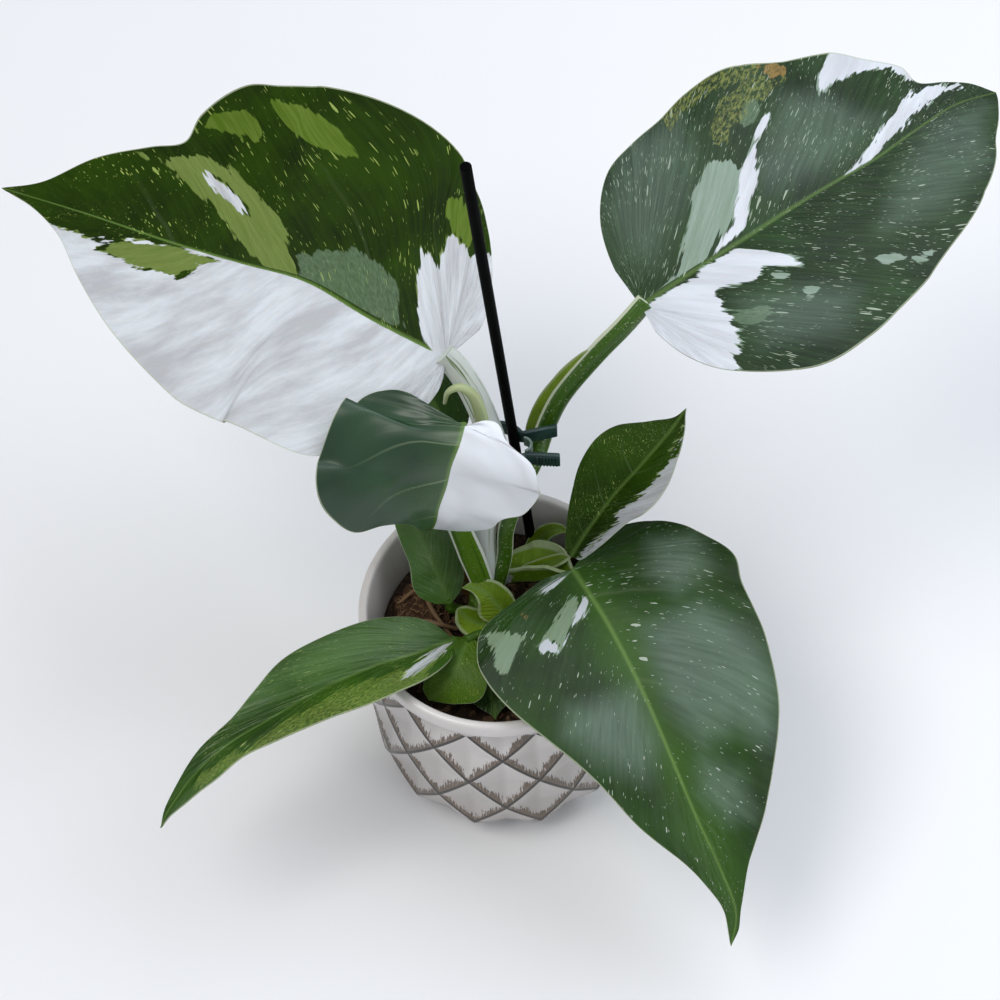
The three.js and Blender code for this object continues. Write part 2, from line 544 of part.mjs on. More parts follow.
// The pot
/** A level ring of points about the pot's axis, the first at FIRST_NODE. */
function ring(count, height, radiusAt) {
  return Array.from({ length: count }, (_, i) => {
    const angle = radians(FIRST_NODE + (360 * i) / count);
    const radius = radiusAt(i);
    return new THREE.Vector3(radius * Math.cos(angle), radius * Math.sin(angle), height);
  });
}

/** The pot: diamonds sunk between raised ridges, a plain rim, and a plain hollow inside. */
function pot() {
  const nodes = 2 * DIAMONDS;
  const points = [];
  const triangles = [];
  const add = (ringPoints) => {
    points.push(...ringPoints);
    return points.length - ringPoints.length;
  };
  const base = add(ring(nodes, 0, () => BASE_RADIUS));
  let lower = base;
  [...LATTICE].reverse().forEach(([height, radius], k) => {
    const isNode = (i) => (i + k) % 2 === 0;
    const upper = add(ring(nodes, height, (i) => (isNode(i) ? radius : radius - FACET_DEPTH)));
    for (let i = 0; i < nodes; i += 1) {
      const next = (i + 1) % nodes;
      if (isNode(i)) {
        triangles.push([lower + i, lower + next, upper + i], [lower + next, upper + next, upper + i]);
      } else {
        triangles.push([lower + i, lower + next, upper + next], [lower + i, upper + next, upper + i]);
      }
    }
    lower = upper;
  });
  const neck = add(ring(POT_SIDES, NECK[0][1], () => NECK[0][0]));
  for (let i = 0; i < nodes; i += 1) {
    const next = (i + 1) % nodes;
    const wide = [neck + 2 * i, neck + 2 * i + 1, neck + ((2 * i + 2) % POT_SIDES)];
    triangles.push([lower + i, lower + next, wide[1]], [lower + i, wide[1], wide[0]]);
    triangles.push([lower + next, wide[2], wide[1]]);
  }
  let last = neck;
  for (const [radius, height] of [NECK[1], ...RIM, ...INNER_WALL]) {
    const following = add(ring(POT_SIDES, height, () => radius));
    for (let i = 0; i < POT_SIDES; i += 1) {
      const next = (i + 1) % POT_SIDES;
      triangles.push([last + i, last + next, following + next], [last + i, following + next, following + i]);
    }
    last = following;
  }
  const middle = add([new THREE.Vector3(0, 0, FLOOR_THICK)]);
  for (let i = 0; i < POT_SIDES; i += 1) triangles.push([last + i, last + ((i + 1) % POT_SIDES), middle]);
  const underside = add([new THREE.Vector3(0, 0, 0)]);
  for (let i = 0; i < nodes; i += 1) triangles.push([base + ((i + 1) % nodes), base + i, underside]);
  return meshGeometry(points, triangles);
}

/** The soil: fills the pot's hollow and has a lumpy top. */
function soil() {
  const wall = INNER_WALL.slice(2).map(([radius, height]) => [radius - GAP, height]).reverse();
  wall[0] = [wall[0][0], FLOOR_THICK + GAP];
  const lump = (x, y) => 1.3 * Math.sin(x * 0.21 + 1) * Math.cos(y * 0.17) + 0.8 * Math.sin(x * 0.47 - y * 0.39);
  const points = [];
  const triangles = [];
  const levels = [...wall, ...[0.82, 0.62, 0.42, 0.22].map((share) => [share * wall.at(-1)[0], SOIL_TOP])];
  levels.forEach(([radius, height], k) => {
    for (const p of ring(POT_SIDES, height, () => radius)) {
      if (k >= wall.length) p.z += lump(p.x, p.y);
      points.push(p);
    }
    for (let i = 0; k > 0 && i < POT_SIDES; i += 1) {
      const next = (i + 1) % POT_SIDES;
      const [below, above] = [(k - 1) * POT_SIDES, k * POT_SIDES];
      triangles.push([below + i, below + next, above + next], [below + i, above + next, above + i]);
    }
  });
  const foot = points.push(new THREE.Vector3(0, 0, FLOOR_THICK + GAP)) - 1;
  const crest = points.push(new THREE.Vector3(0, 0, SOIL_TOP + lump(0, 0))) - 1;
  const top = (levels.length - 1) * POT_SIDES;
  for (let i = 0; i < POT_SIDES; i += 1) {
    const next = (i + 1) % POT_SIDES;
    triangles.push([next, i, foot], [top + i, top + next, crest]);
  }
  return toSolid(meshGeometry(points, triangles));
}

/** The clump of bark and fibre beside the crown, with the roots that cross it. */
function rootBall() {
  const lump = new THREE.IcosahedronGeometry(1, 2);
  const place = lump.attributes.position;
  for (let i = 0; i < place.count; i += 1) {
    const p = new THREE.Vector3().fromBufferAttribute(place, i).normalize();
    const rough = 1 + 0.09 * Math.sin(7 * p.x + 2) * Math.sin(6 * p.y) + 0.05 * Math.sin(11 * p.z + 5 * p.x);
    p.multiply(vector(ROOT_BALL.half)).multiplyScalar(rough).add(vector(ROOT_BALL.middle));
    place.setXYZ(i, p.x, p.y, p.z);
  }
  return ROOTS.reduce((body, route) => body.add(toSolid(stalk({ route, ...ROOT_SECTION }))), toSolid(lump));
}

// The stake and its clip
function rod(from, to, radius) {
  const [start, end] = [vector(from), vector(to)];
  const geometry = new THREE.CylinderGeometry(radius, radius, start.distanceTo(end), STAKE_SIDES);
  const heading = end.clone().sub(start).normalize();
  geometry.applyQuaternion(new THREE.Quaternion().setFromUnitVectors(new THREE.Vector3(0, 1, 0), heading));
  geometry.translate(...start.add(end).multiplyScalar(0.5).toArray());
  return geometry;
}

/** A flat outline in the clip's plan, made into a plate. */
function plate(outline, low, tall) {
  const geometry = new THREE.ExtrudeGeometry(outline, { depth: tall, bevelEnabled: false, curveSegments: 10 });
  return geometry.translate(0, 0, low);
}

/** One half of the clip, on the far side (+1) or the near side (-1): half of the ring, and a lever. */
function clipHalf(side) {
  const [px, py] = CLIP_PIVOT;
  const [jx, jy] = JAW_CENTRE;
  const tip = 180 - JAW_SLIT;
  const onRing = (radius, share) => {
    const angle = radians(JAW_HEEL + (tip - JAW_HEEL) * share);
    return [jx + radius * Math.cos(angle), jy - py + radius * Math.sin(angle)];
  };
  const steps = Array.from({ length: 11 }, (_, i) => i / 10);
  const corners = [
    ...steps.map((share) => onRing(JAW_INSIDE + JAW_WALL, 1 - share)),
    [px + LEVER.length, LEVER.spread + LEVER.wall],
    [px + LEVER.length, LEVER.spread],
    [px + SPRING.outside / 2, LEVER.root],
    ...steps.map((share) => onRing(JAW_INSIDE, share)),
  ];
  const outline = new THREE.Shape(corners.map(([x, y]) => new THREE.Vector2(x, py + side * y)));
  return toSolid(plate(outline, CLIP_LOW, CLIP_TALL));
}

/** The bent band that joins the two halves and holds them shut. */
function clipSpring() {
  const [px, py] = CLIP_PIVOT;
  const outline = new THREE.Shape();
  const reach = radians(SPRING.reach);
  outline.absarc(px, py, SPRING.outside, -reach, reach, false);
  outline.absarc(px, py, SPRING.inside, reach, -reach, true);
  outline.closePath();
  return toSolid(plate(outline, CLIP_LOW + SPRING.inset, CLIP_TALL - 2 * SPRING.inset));
}

// Assembly: what is made first stays whole, and what comes later is cut clear of it
const plant = new THREE.Group();
const placed = [];

function put(name, finish, geometry) {
  const [color, roughness] = FINISHES[finish];
  const flat = geometry.index ? geometry.toNonIndexed() : geometry;
  flat.computeVertexNormals();
  const mesh = new THREE.Mesh(flat, new THREE.MeshStandardMaterial({ color, roughness, metalness: 0 }));
  mesh.name = name;
  plant.add(mesh);
}

/** Adds a piece after cutting it clear of what was placed before it, and keeps its space clear. */
function place(name, finish, solid, space) {
  const box = solid.boundingBox();
  const near = placed.filter(({ low, high }) => [0, 1, 2].every((axis) => (
    low[axis] < box.max[axis] && high[axis] > box.min[axis])));
  put(name, finish, fromSolid(near.reduce((body, other) => body.subtract(other.space), solid)));
  const { min: low, max: high } = space.boundingBox();
  placed.push({ space, low, high });
}

/** Places a piece whose maker gives it larger by GAP for its space. */
function grow(name, finish, make) {
  place(name, finish, toSolid(make(0)), toSolid(make(GAP)));
}

/** Places a part of the clip, whose space is all that it covers when moved by GAP each way. */
function placeClip(name, finish, solid) {
  const moves = [[GAP, 0, 0], [-GAP, 0, 0], [0, GAP, 0], [0, -GAP, 0], [0, 0, GAP], [0, 0, -GAP]];
  place(name, finish, solid, moves.reduce((body, move) => body.add(solid.translate(move)), solid));
}

put('pot', 'glazed_white', pot());
grow('stake', 'stake_black', (more) => {
  const [x, y, z] = STAKE_FOOT;
  return rod([x, y, z - more], STAKE_TOP, STAKE_RADIUS + more);
});
placeClip('clip_far_half', 'clip_green', clipHalf(1));
placeClip('clip_near_half', 'clip_green', clipHalf(-1));
placeClip('clip_spring', 'spring_grey', clipSpring());
for (const [name, leaf] of Object.entries(LEAVES)) {
  grow(`leaf_${name}`, leaf.finish, (more) => blade(leaf, more));
}
grow('crown', 'stem_green', (more) => stalk(CROWN, more));
for (const [name, part] of Object.entries(STALKS)) {
  grow(`stalk_${name}`, part.finish, (more) => stalk(part, more));
}
for (const [name, part] of Object.entries(SHEATHS)) {
  grow(name, part.finish, (more) => blade(part, more));
}
grow('new_leaf_spear', SPEAR.finish, (more) => stalk(SPEAR, more));
const ground = soil();
place('potting_soil', 'soil', ground, ground.add(ground.translate([0, 0, GAP])));
const clump = rootBall();
place('root_ball', 'bark', clump, clump);

export default plant;
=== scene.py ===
"""A potted white wizard philodendron: a variegated plant in a white faceted pot, with its stake and clip.

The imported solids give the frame. Blades, sheaths and stalks are sheets and tubes along the same midribs,
margins and routes as the solids, only finer, and they carry their colour as distances to painted patches.
"""
import math
import random
import bmesh
import bpy
import numpy as np
from mathutils import Matrix, Vector, noise


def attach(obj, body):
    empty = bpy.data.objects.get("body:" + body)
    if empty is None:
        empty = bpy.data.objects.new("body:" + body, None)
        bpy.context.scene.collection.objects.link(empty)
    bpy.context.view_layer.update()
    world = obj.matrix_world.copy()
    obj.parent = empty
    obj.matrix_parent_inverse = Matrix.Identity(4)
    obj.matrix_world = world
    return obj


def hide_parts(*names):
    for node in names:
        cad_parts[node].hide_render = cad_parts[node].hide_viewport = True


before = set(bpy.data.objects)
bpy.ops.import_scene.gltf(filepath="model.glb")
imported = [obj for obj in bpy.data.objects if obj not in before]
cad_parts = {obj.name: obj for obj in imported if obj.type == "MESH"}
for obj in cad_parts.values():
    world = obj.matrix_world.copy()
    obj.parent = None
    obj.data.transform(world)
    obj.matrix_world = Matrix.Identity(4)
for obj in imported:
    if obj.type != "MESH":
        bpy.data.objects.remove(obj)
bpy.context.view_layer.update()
random.seed(7)

# Driving dimensions, in millimetres; z = 0 is the ground and the pot's axis is x = y = 0
MM = 0.001
POT_HEIGHT = 120
RIM_RADIUS = 65
DIAMONDS = 12                # diamonds round the pot
FIRST_NODE = -108            # degrees round the pot to the first crossing of ridges
FACET_DEPTH = 4              # how far each diamond's middle is sunk
RIDGE_SOFT = 0.06            # share of a diamond over which its ridge is rounded
DISH_BOW = 0.35              # how much each diamond's floor bows
BASE_RADIUS = 50
SOIL_TOP = 93
SOIL_RADIUS = 56
# The mix against the pot's wall, each (radius, height), from its middle below to just under its top
MIX_WALL = [(0, 7), (43, 7), (51.6, 24), (54.6, 60), (SOIL_RADIUS, SOIL_TOP - 1)]
# Bark chips: how many, how far out, their least and greatest width, and shares of it: the three sides, the
# rounding and the unevenness of the corners. They lie up to "tilt" radians from flat and "above" the mix.
CHIPS = {"count": 260, "reach": 53, "least": 1.4, "most": 3.6, "sides": (1.5, 1, 0.5), "rounding": 0.16,
         "uneven": 0.09, "tilt": 0.5, "above": 0.2}
# Fibres of the clump: how many, how far they stray aside and upwards, how steeply they leave (radians), how
# high they arch, and half their width along the way
FIBRES = {"count": 46, "reach": 4, "rise": (-0.6, 0.8), "tilt": (0.2, 1.4), "arch": 1.1,
          "half": (0.22, 0.3, 0.15)}
BLADE_THICK = 0.8
SEAM = 0.12                  # points of a blade nearer than this become one, as along its midrib
CLOSE = 0.02                 # the same in the tubes, the pot and the mix
LOBE_SHARE = 0.35            # share of a margin whose veins leave from the stalk's end
VEIN_SPREAD = 1.25           # how much the veins crowd towards the stalk
VEIN_BOW = 0.12              # how far a side vein bows towards the tip
WAVE_REACH = 1.7             # how quickly a wave of the margin dies out towards the midrib
# Layers of paint on a blade, each kept as the distance inside its patches. The last is painted sheen, and the
# grey-green layer also holds one painted reflection.
LAYERS = ("sage_and_painted_reflection", "pale", "olive", "yellowed", "rusty", "white", "painted_sheen")
PAINT_FAR = 40.0             # distances to a patch are kept within this
GROUND_LAP = 0.6             # how far a half's ground runs past the midrib
LEFT_VEINS = 3               # sets the left half's veins apart from the right half's on the map
# The camera: its angles in degrees, its distance from the middle of the pot's top, its lens and sensor in
# millimetres, its shift, and how far it sees in metres
CAMERA = {"elevation": 60, "roll": -4.5, "distance": 1300, "lens": 100.8, "sensor": 36,
          "shift": (0.0026, 0.1049), "sees": 20}

# Rings of the pot's outside, each (height, radius of the ridge crossings)
LATTICE = [(104, 62), (84, 64), (61, 65), (36, 64.6), (14, 62.8)]
# The neck, the rim over its top, and the inner wall down to the floor, each (radius, height)
NECK = [(60.4, 106.5), (61.2, 110)]
RIM = [(64.2, 111), (64.7, 111.6), (RIM_RADIUS, 113), (RIM_RADIUS, 117.5), (64.7, 118.7), (64, 119.4),
  (62.4, POT_HEIGHT), (61.4, 119.8), (60.8, 119.3)]
INNER_WALL = [(60.2, 117.5), (58, 108), (56.4, 93), (55, 60), (52, 24), (44, 6), (0, 6)]
STAKE_FOOT = (22.1, 44, 48)
STAKE_TOP = (1, 40, 392)
STAKE_RADIUS = 2.4
STAKE_ROUNDING = 0.9
CLIP_LOW = 189
CLIP_TALL = 8
CLIP_PIVOT = (17, 38)
JAW_CENTRE = (6, 38)
JAW_INSIDE = 11
JAW_WALL = 2.2
JAW_HEEL = 30                # where each half's jaw turns into its lever, in degrees
JAW_SLIT = 1.7               # from each jaw's tip to the middle line, in degrees
# Each half's lever: its length, how far its inner side stands from the middle line at its root and at its
# end, its wall, how far out it starts, and how its outer side rises (1 is straight)
LEVER = {"length": 16, "root": 4.7, "spread": 6.8, "wall": 2.4, "heel": 2.15, "rise": 1.4}
# Ridges of the grip: how many, the first and the steps along the lever, their radius, and how far they end
# from the clip's faces
GRIP = {"ridges": 7, "first": 6, "apart": 1.4, "radius": 0.5, "inset": 0.7}
# The band round the hinge: degrees to each side, its radii, and how far it stays from the clip's faces
SPRING = {"reach": 80, "outside": 4.3, "inside": 3.1, "inset": 0.8}
# Each tube: half its width and half its depth along the route, the way its flat side looks, and the route
SPEAR = {
  "wide": [2.2, 3.2, 3.2, 2.8, 2.2, 1.4, 0.7], "deep": [2, 2.8, 2.8, 2.4, 2, 1.4, 0.7], "up": [0, -1, 0],
  "route": [[3, 28.5, 184], [2, 26, 203], [0, 27, 222], [-1, 29, 238], [-4, 31, 249], [-9, 32, 253],
    [-14, 32, 250], [-16, 32, 242]],
}
CROWN = {
  "wide": [9, 9.5, 8.5, 6], "deep": [9, 9.5, 8, 5.5],
  "route": [[-6, 4, 74], [-5, 8, 95], [-4, 11, 108], [-3, 13, 119]],
}
ROOTS = [
  [[-20, 2, 97], [-28, 2, 102.5], [-36, 4, 103], [-45, 2, 98]],
  [[-19, 14, 97], [-27, 20, 103], [-37, 22, 102.5], [-47, 18, 97]],
  [[-22, -2, 95], [-30, 8, 103], [-33, 18, 102.5], [-31, 29, 96]],
]
ROOT_HALF = (1, 1.2, 1)      # half a root's width along its route
ROOT_BALL = {"middle": [-35, 13, 93], "half": [13, 17, 9]}


def both_halves(**half):
    """A leaf's two halves, alike."""
    return {"right": half, "left": half}


# Each leaf: its midrib from the stalk to the tip, the way its upper face looks at the base, middle and tip,
# and for each half the fold up from flat (degrees), the curl on the way out (degrees in 100 mm), the margin
# as [part of the midrib, distance out], and any waves of the margin as [place on the margin, width, height].
LEAVES = {
  "broad_left": {
    "midrib": [[-14, 57, 240], [-45, 76, 246], [-73, 98, 248], [-102, 112, 247], [-133, 128, 245],
      [-171, 150, 242], [-212, 174, 236]],
    "facing": [[0.1, -0.02, 1], [0.02, -0.08, 1], [-0.1, -0.05, 1]],
    "right": {
      "fold": [22, 18, 8], "curl": [-16, -16, -20], "waves": [[0.66, 0.05, -4]],
      "margin": [[0, 0], [-0.03, 18], [-0.01, 38], [0.05, 61], [0.13, 77], [0.3, 91], [0.44, 92],
        [0.58, 88], [0.68, 84], [0.74, 66], [0.738, 48], [0.79, 40], [0.87, 27], [0.935, 9], [1, 0]],
    },
    "left": {
      "fold": [-4, 2, 2], "curl": [-30, -22, -20], "waves": [[0.46, 0.05, 2.5], [0.64, 0.05, -2.5]],
      "margin": [[0, 0], [-0.015, 9], [-0.02, 17], [-0.01, 28], [0.03, 42], [0.08, 56], [0.13, 68],
        [0.22, 73], [0.36, 75], [0.48, 72], [0.61, 60], [0.7, 48], [0.79, 31], [0.86, 15], [0.93, 5],
        [1, 0]],
    },
  },
  "broad_right": {
    "midrib": [[72, 62, 260], [99, 76, 266], [123, 90, 268], [143, 103, 268], [164, 117, 266],
      [183, 130, 263], [203, 147, 259], [224, 164, 254], [245, 175, 247]],
    "facing": [[0, -0.05, 1], [0.03, -0.1, 1], [0.12, -0.1, 1]],
    "right": {
      "fold": [10, 8, 4], "curl": [-16, -20, -24], "waves": [[0.3, 0.06, 3], [0.55, 0.06, -2]],
      "margin": [[0, 0], [-0.01, 15], [0.01, 36], [0.06, 54], [0.16, 72], [0.28, 72], [0.39, 68], [0.5, 62],
        [0.62, 53], [0.74, 44], [0.85, 32], [0.94, 18], [0.985, 6], [1, 0]],
    },
    "left": {
      "fold": [12, 10, 6], "curl": [-16, -20, -24], "waves": [[0.45, 0.06, 3], [0.7, 0.05, -3]],
      "margin": [[0, 0], [0, 20], [0.03, 43], [0.09, 60], [0.17, 66], [0.26, 69], [0.36, 73], [0.46, 73],
        [0.56, 66], [0.67, 62], [0.75, 54], [0.8, 45], [0.84, 30], [0.84, 18], [0.89, 12], [0.95, 7],
        [1, 0]],
    },
  },
  "drooping": {
    "midrib": [[-8, 16, 247], [-11, 9, 243], [-15, 5, 234], [-18, 3, 221], [-22, 1, 208], [-24, 2, 195],
      [-26, 7, 181], [-27, 16, 170]],
    "facing": [[-0.2, -0.3, 1], [-0.2, -1, 0.3], [0, -1, -1]],
    "right": {
      "fold": [4, 14, 20], "curl": [-24, -10, 0],
      "margin": [[0, 0], [-0.085, 27], [-0.06, 41], [0.02, 50], [0.16, 53], [0.3, 55], [0.44, 57],
        [0.54, 55], [0.62, 46], [0.69, 36], [0.67, 24], [0.69, 13], [0.8, 6], [1, 0]],
    },
    "left": {
      "fold": [-14, 4, 10], "curl": [-24, -14, -10],
      "margin": [[0, 0], [-0.05, 7], [-0.05, 14], [0.05, 21], [0.12, 32], [0.2, 38], [0.34, 40], [0.45, 36],
        [0.52, 28], [0.68, 25], [0.8, 16], [0.9, 7], [1, 0]],
    },
  },
  "upright_right": {
    "lobe": 0.1,
    "midrib": [[36, 14, 134.6], [44, 21, 144], [57, 31, 157], [71, 40, 168], [86, 53, 176], [93, 61, 180]],
    "facing": [[-0.35, -0.35, 1], [-0.35, -0.5, 1], [-0.3, -0.5, 1]],
    "right": {
      "fold": [30, 42, 20], "curl": [-20, -20, -10],
      "margin": [[0, 0], [0.03, 6], [0.2, 13], [0.38, 20], [0.5, 26], [0.6, 23], [0.7, 15], [0.8, 8],
        [0.9, 3], [1, 0]],
    },
    "left": {
      "fold": [20, 28, 15], "curl": [-40, -40, -20],
      "margin": [[0, 0], [0.02, 4], [0.15, 9], [0.3, 16], [0.43, 22], [0.55, 24], [0.65, 21], [0.75, 11],
        [0.86, 3], [1, 0]],
    },
  },
  "low_right": {
    "midrib": [[36, 10, 130], [42, -4, 132], [49, -20, 132], [57, -40, 129], [65, -61, 123], [74, -86, 112],
      [82, -106, 99], [91, -125, 84], [97, -141, 70], [94, -153, 58]],
    "facing": [[0, -0.15, 1], [0.1, -0.35, 1], [0.2, -0.8, 0.6]],
    "right": {
      "fold": [14, 8, 4], "curl": [-20, -24, -24], "waves": [[0.35, 0.05, 2]],
      "margin": [[0, 0], [0, 14], [0.04, 32], [0.09, 53], [0.17, 62], [0.25, 63], [0.34, 58], [0.44, 48],
        [0.54, 35], [0.64, 26], [0.74, 14], [0.84, 7], [0.93, 4], [1, 0]],
    },
    "left": {
      "fold": [12, 8, 4], "curl": [-20, -24, -24], "waves": [[0.5, 0.04, -3]],
      "margin": [[0, 0], [-0.03, 14], [-0.035, 27], [0, 43], [0.07, 54], [0.15, 61], [0.22, 67], [0.28, 64],
        [0.34, 64], [0.42, 62], [0.52, 56], [0.62, 44], [0.71, 31], [0.79, 14], [0.88, 3], [0.95, 1.8],
        [1, 0]],
    },
  },
  "low_left": {
    "midrib": [[-21, -14, 115], [-40, -23, 120], [-60, -30, 123], [-82, -39, 123], [-104, -49, 120],
      [-126, -58, 114], [-143, -68, 106], [-156, -79, 96], [-162, -86, 89]],
    "facing": [[0, -0.1, 1], [-0.1, -0.1, 1], [-0.4, -0.3, 0.8]],
    "right": {
      "fold": [30, 36, 20], "curl": [-60, -60, -40],
      "margin": [[0, 0], [0.04, 10], [0.1, 17], [0.2, 21], [0.32, 22], [0.43, 21], [0.52, 15], [0.6, 9],
        [0.7, 7], [0.8, 4], [0.9, 2], [1, 0]],
    },
    "left": {
      "fold": [40, 40, 20], "curl": [-50, -50, -40],
      "margin": [[0, 0], [0.05, 13], [0.12, 21], [0.2, 25], [0.3, 27], [0.4, 24], [0.5, 20], [0.6, 15],
        [0.7, 14], [0.8, 9], [0.9, 3], [1, 0]],
    },
  },
  "small_middle": {
    "midrib": [[-22, 7, 112], [-26, 15, 122], [-30, 22, 132], [-35, 32, 140], [-40, 42, 147],
      [-46, 60, 150]],
    "facing": [[0.2, -0.6, 0.8], [0.1, -0.4, 1], [0, -0.3, 1]],
    "right": {
      "fold": [8, 8, 4], "curl": [-20, -20, -20],
      "margin": [[0, 0], [0.05, 6], [0.15, 11], [0.3, 13], [0.5, 13], [0.7, 11], [0.85, 6], [1, 0]],
    },
    "left": {
      "fold": [8, 8, 4], "curl": [-20, -20, -20],
      "margin": [[0, 0], [0.05, 6], [0.15, 12], [0.27, 13], [0.42, 10], [0.6, 9], [0.8, 6], [1, 0]],
    },
  },
  "small_front": {
    "midrib": [[-14, -15, 118], [-18, -25, 120], [-22, -33, 118], [-27, -37, 112], [-35, -38, 103]],
    "facing": [[-0.2, -0.5, 1], [-0.3, -0.6, 1], [-0.5, -0.9, 0.5]],
    "right": {
      "fold": [8, 8, 4], "curl": [-30, -30, -20],
      "margin": [[0, 0], [0.1, 5], [0.25, 8], [0.45, 9], [0.65, 10], [0.85, 9], [0.95, 6], [1, 0]],
    },
    "left": {
      "fold": [8, 8, 4], "curl": [-30, -30, -20],
      "margin": [[0, 0], [0.06, 6], [0.2, 10], [0.38, 14], [0.5, 17], [0.62, 16], [0.75, 10], [0.9, 4],
        [1, 0]],
    },
  },
  "shaded_front": {
    "midrib": [[-8, -14, 99], [-7, -26, 103], [-6, -37, 102], [-5, -48, 97]],
    "facing": [[0, -0.2, 1], [0, -0.3, 1], [0, -0.5, 1]],
    **both_halves(
      fold=[12, 10, 6], curl=[-30, -30, -20],
      margin=[[0, 0], [0, 6], [0.1, 11], [0.3, 14], [0.55, 13], [0.78, 8], [0.92, 2], [1, 0]]),
  },
  "small_back": {
    "midrib": [[-16, 54, 183], [-20, 60, 194], [-25, 67, 204], [-30, 73, 211], [-34, 78, 214]],
    "facing": [[0.2, -0.8, 0.6], [0.1, -0.6, 0.8], [0, -0.5, 1]],
    **both_halves(
      fold=[10, 8, 4], curl=[-30, -30, -20],
      margin=[[0, 0], [0, 7], [0.1, 12], [0.3, 15], [0.55, 13], [0.8, 6], [0.92, 2], [1, 0]]),
  },
}

STALKS = {
  "broad_left": {
    "wide": [6, 6, 6, 6, 5.6], "deep": [5.2, 5.2, 5.2, 5, 4.2], "up": [0, -1, 0.3],
    "route": [[-4, 17, 114], [-4, 26, 142], [-1, 33, 170], [4, 36, 195], [1, 42, 212], [-4, 49, 226],
      [-10, 55, 236], [-15, 58, 242]],
  },
  "broad_right": {
    "wide": [3.6, 3.8, 4.4, 4.6, 4.6, 4.4], "deep": [3.4, 3.6, 4, 4.2, 4.2, 3.6], "up": [0, -1, 0.5],
    "route": [[0, 14, 111], [5, 20, 130], [7, 24, 149], [14, 32, 166], [23, 43, 179], [29, 53, 189],
      [37, 56, 208], [52, 56, 236], [64, 58, 252], [74, 63, 262]],
  },
  "drooping": {
    "wide": [5, 6, 5, 2.8, 1.2], "deep": [2.6, 2.4, 2.4, 2, 1], "up": [0, -1, 0.5],
    "route": [[-5, 10, 111], [-7, 13, 125], [-11, 16, 145], [-15, 18, 168], [-17, 24, 195], [-16, 28, 220],
      [-12, 23, 236], [-8, 17, 247]],
  },
  "low_left": {
    "wide": [4, 3.4, 3], "deep": [3, 2.8, 2.6], "up": [0, 0, 1],
    "route": [[-6, -2, 97], [-12, -9, 103], [-17, -13, 109], [-22, -15, 115]],
  },
  "small_middle": {
    "wide": [3, 2.6, 2.2], "deep": [2.6, 2.4, 2], "up": [0, 0, 1],
    "route": [[-9, 7, 99], [-17, 9, 102], [-22, 8, 107], [-23, 10, 114]],
  },
  "small_front": {
    "wide": [3, 2.6, 2.2], "deep": [2.6, 2.4, 2], "up": [0, 0, 1],
    "route": [[-3, -1, 102], [-5, -9, 110], [-10, -13, 116], [-16, -17, 119]],
  },
  "shaded_front": {
    "wide": [3, 2.6, 2], "deep": [2.4, 2.2, 1.8], "up": [0, 0, 1],
    "route": [[-4, -1, 95.5], [-5, -8, 96.5], [-8, -15, 99.5]],
  },
  "small_back": {
    "wide": [3, 2.6, 2.2, 2], "deep": [3, 2.6, 2.2, 2], "up": [0, -1, 0.3],
    "route": [[-7, 17, 108], [-13, 34, 136], [-16, 46, 160], [-16, 52, 178], [-18, 57, 188]],
  },
}

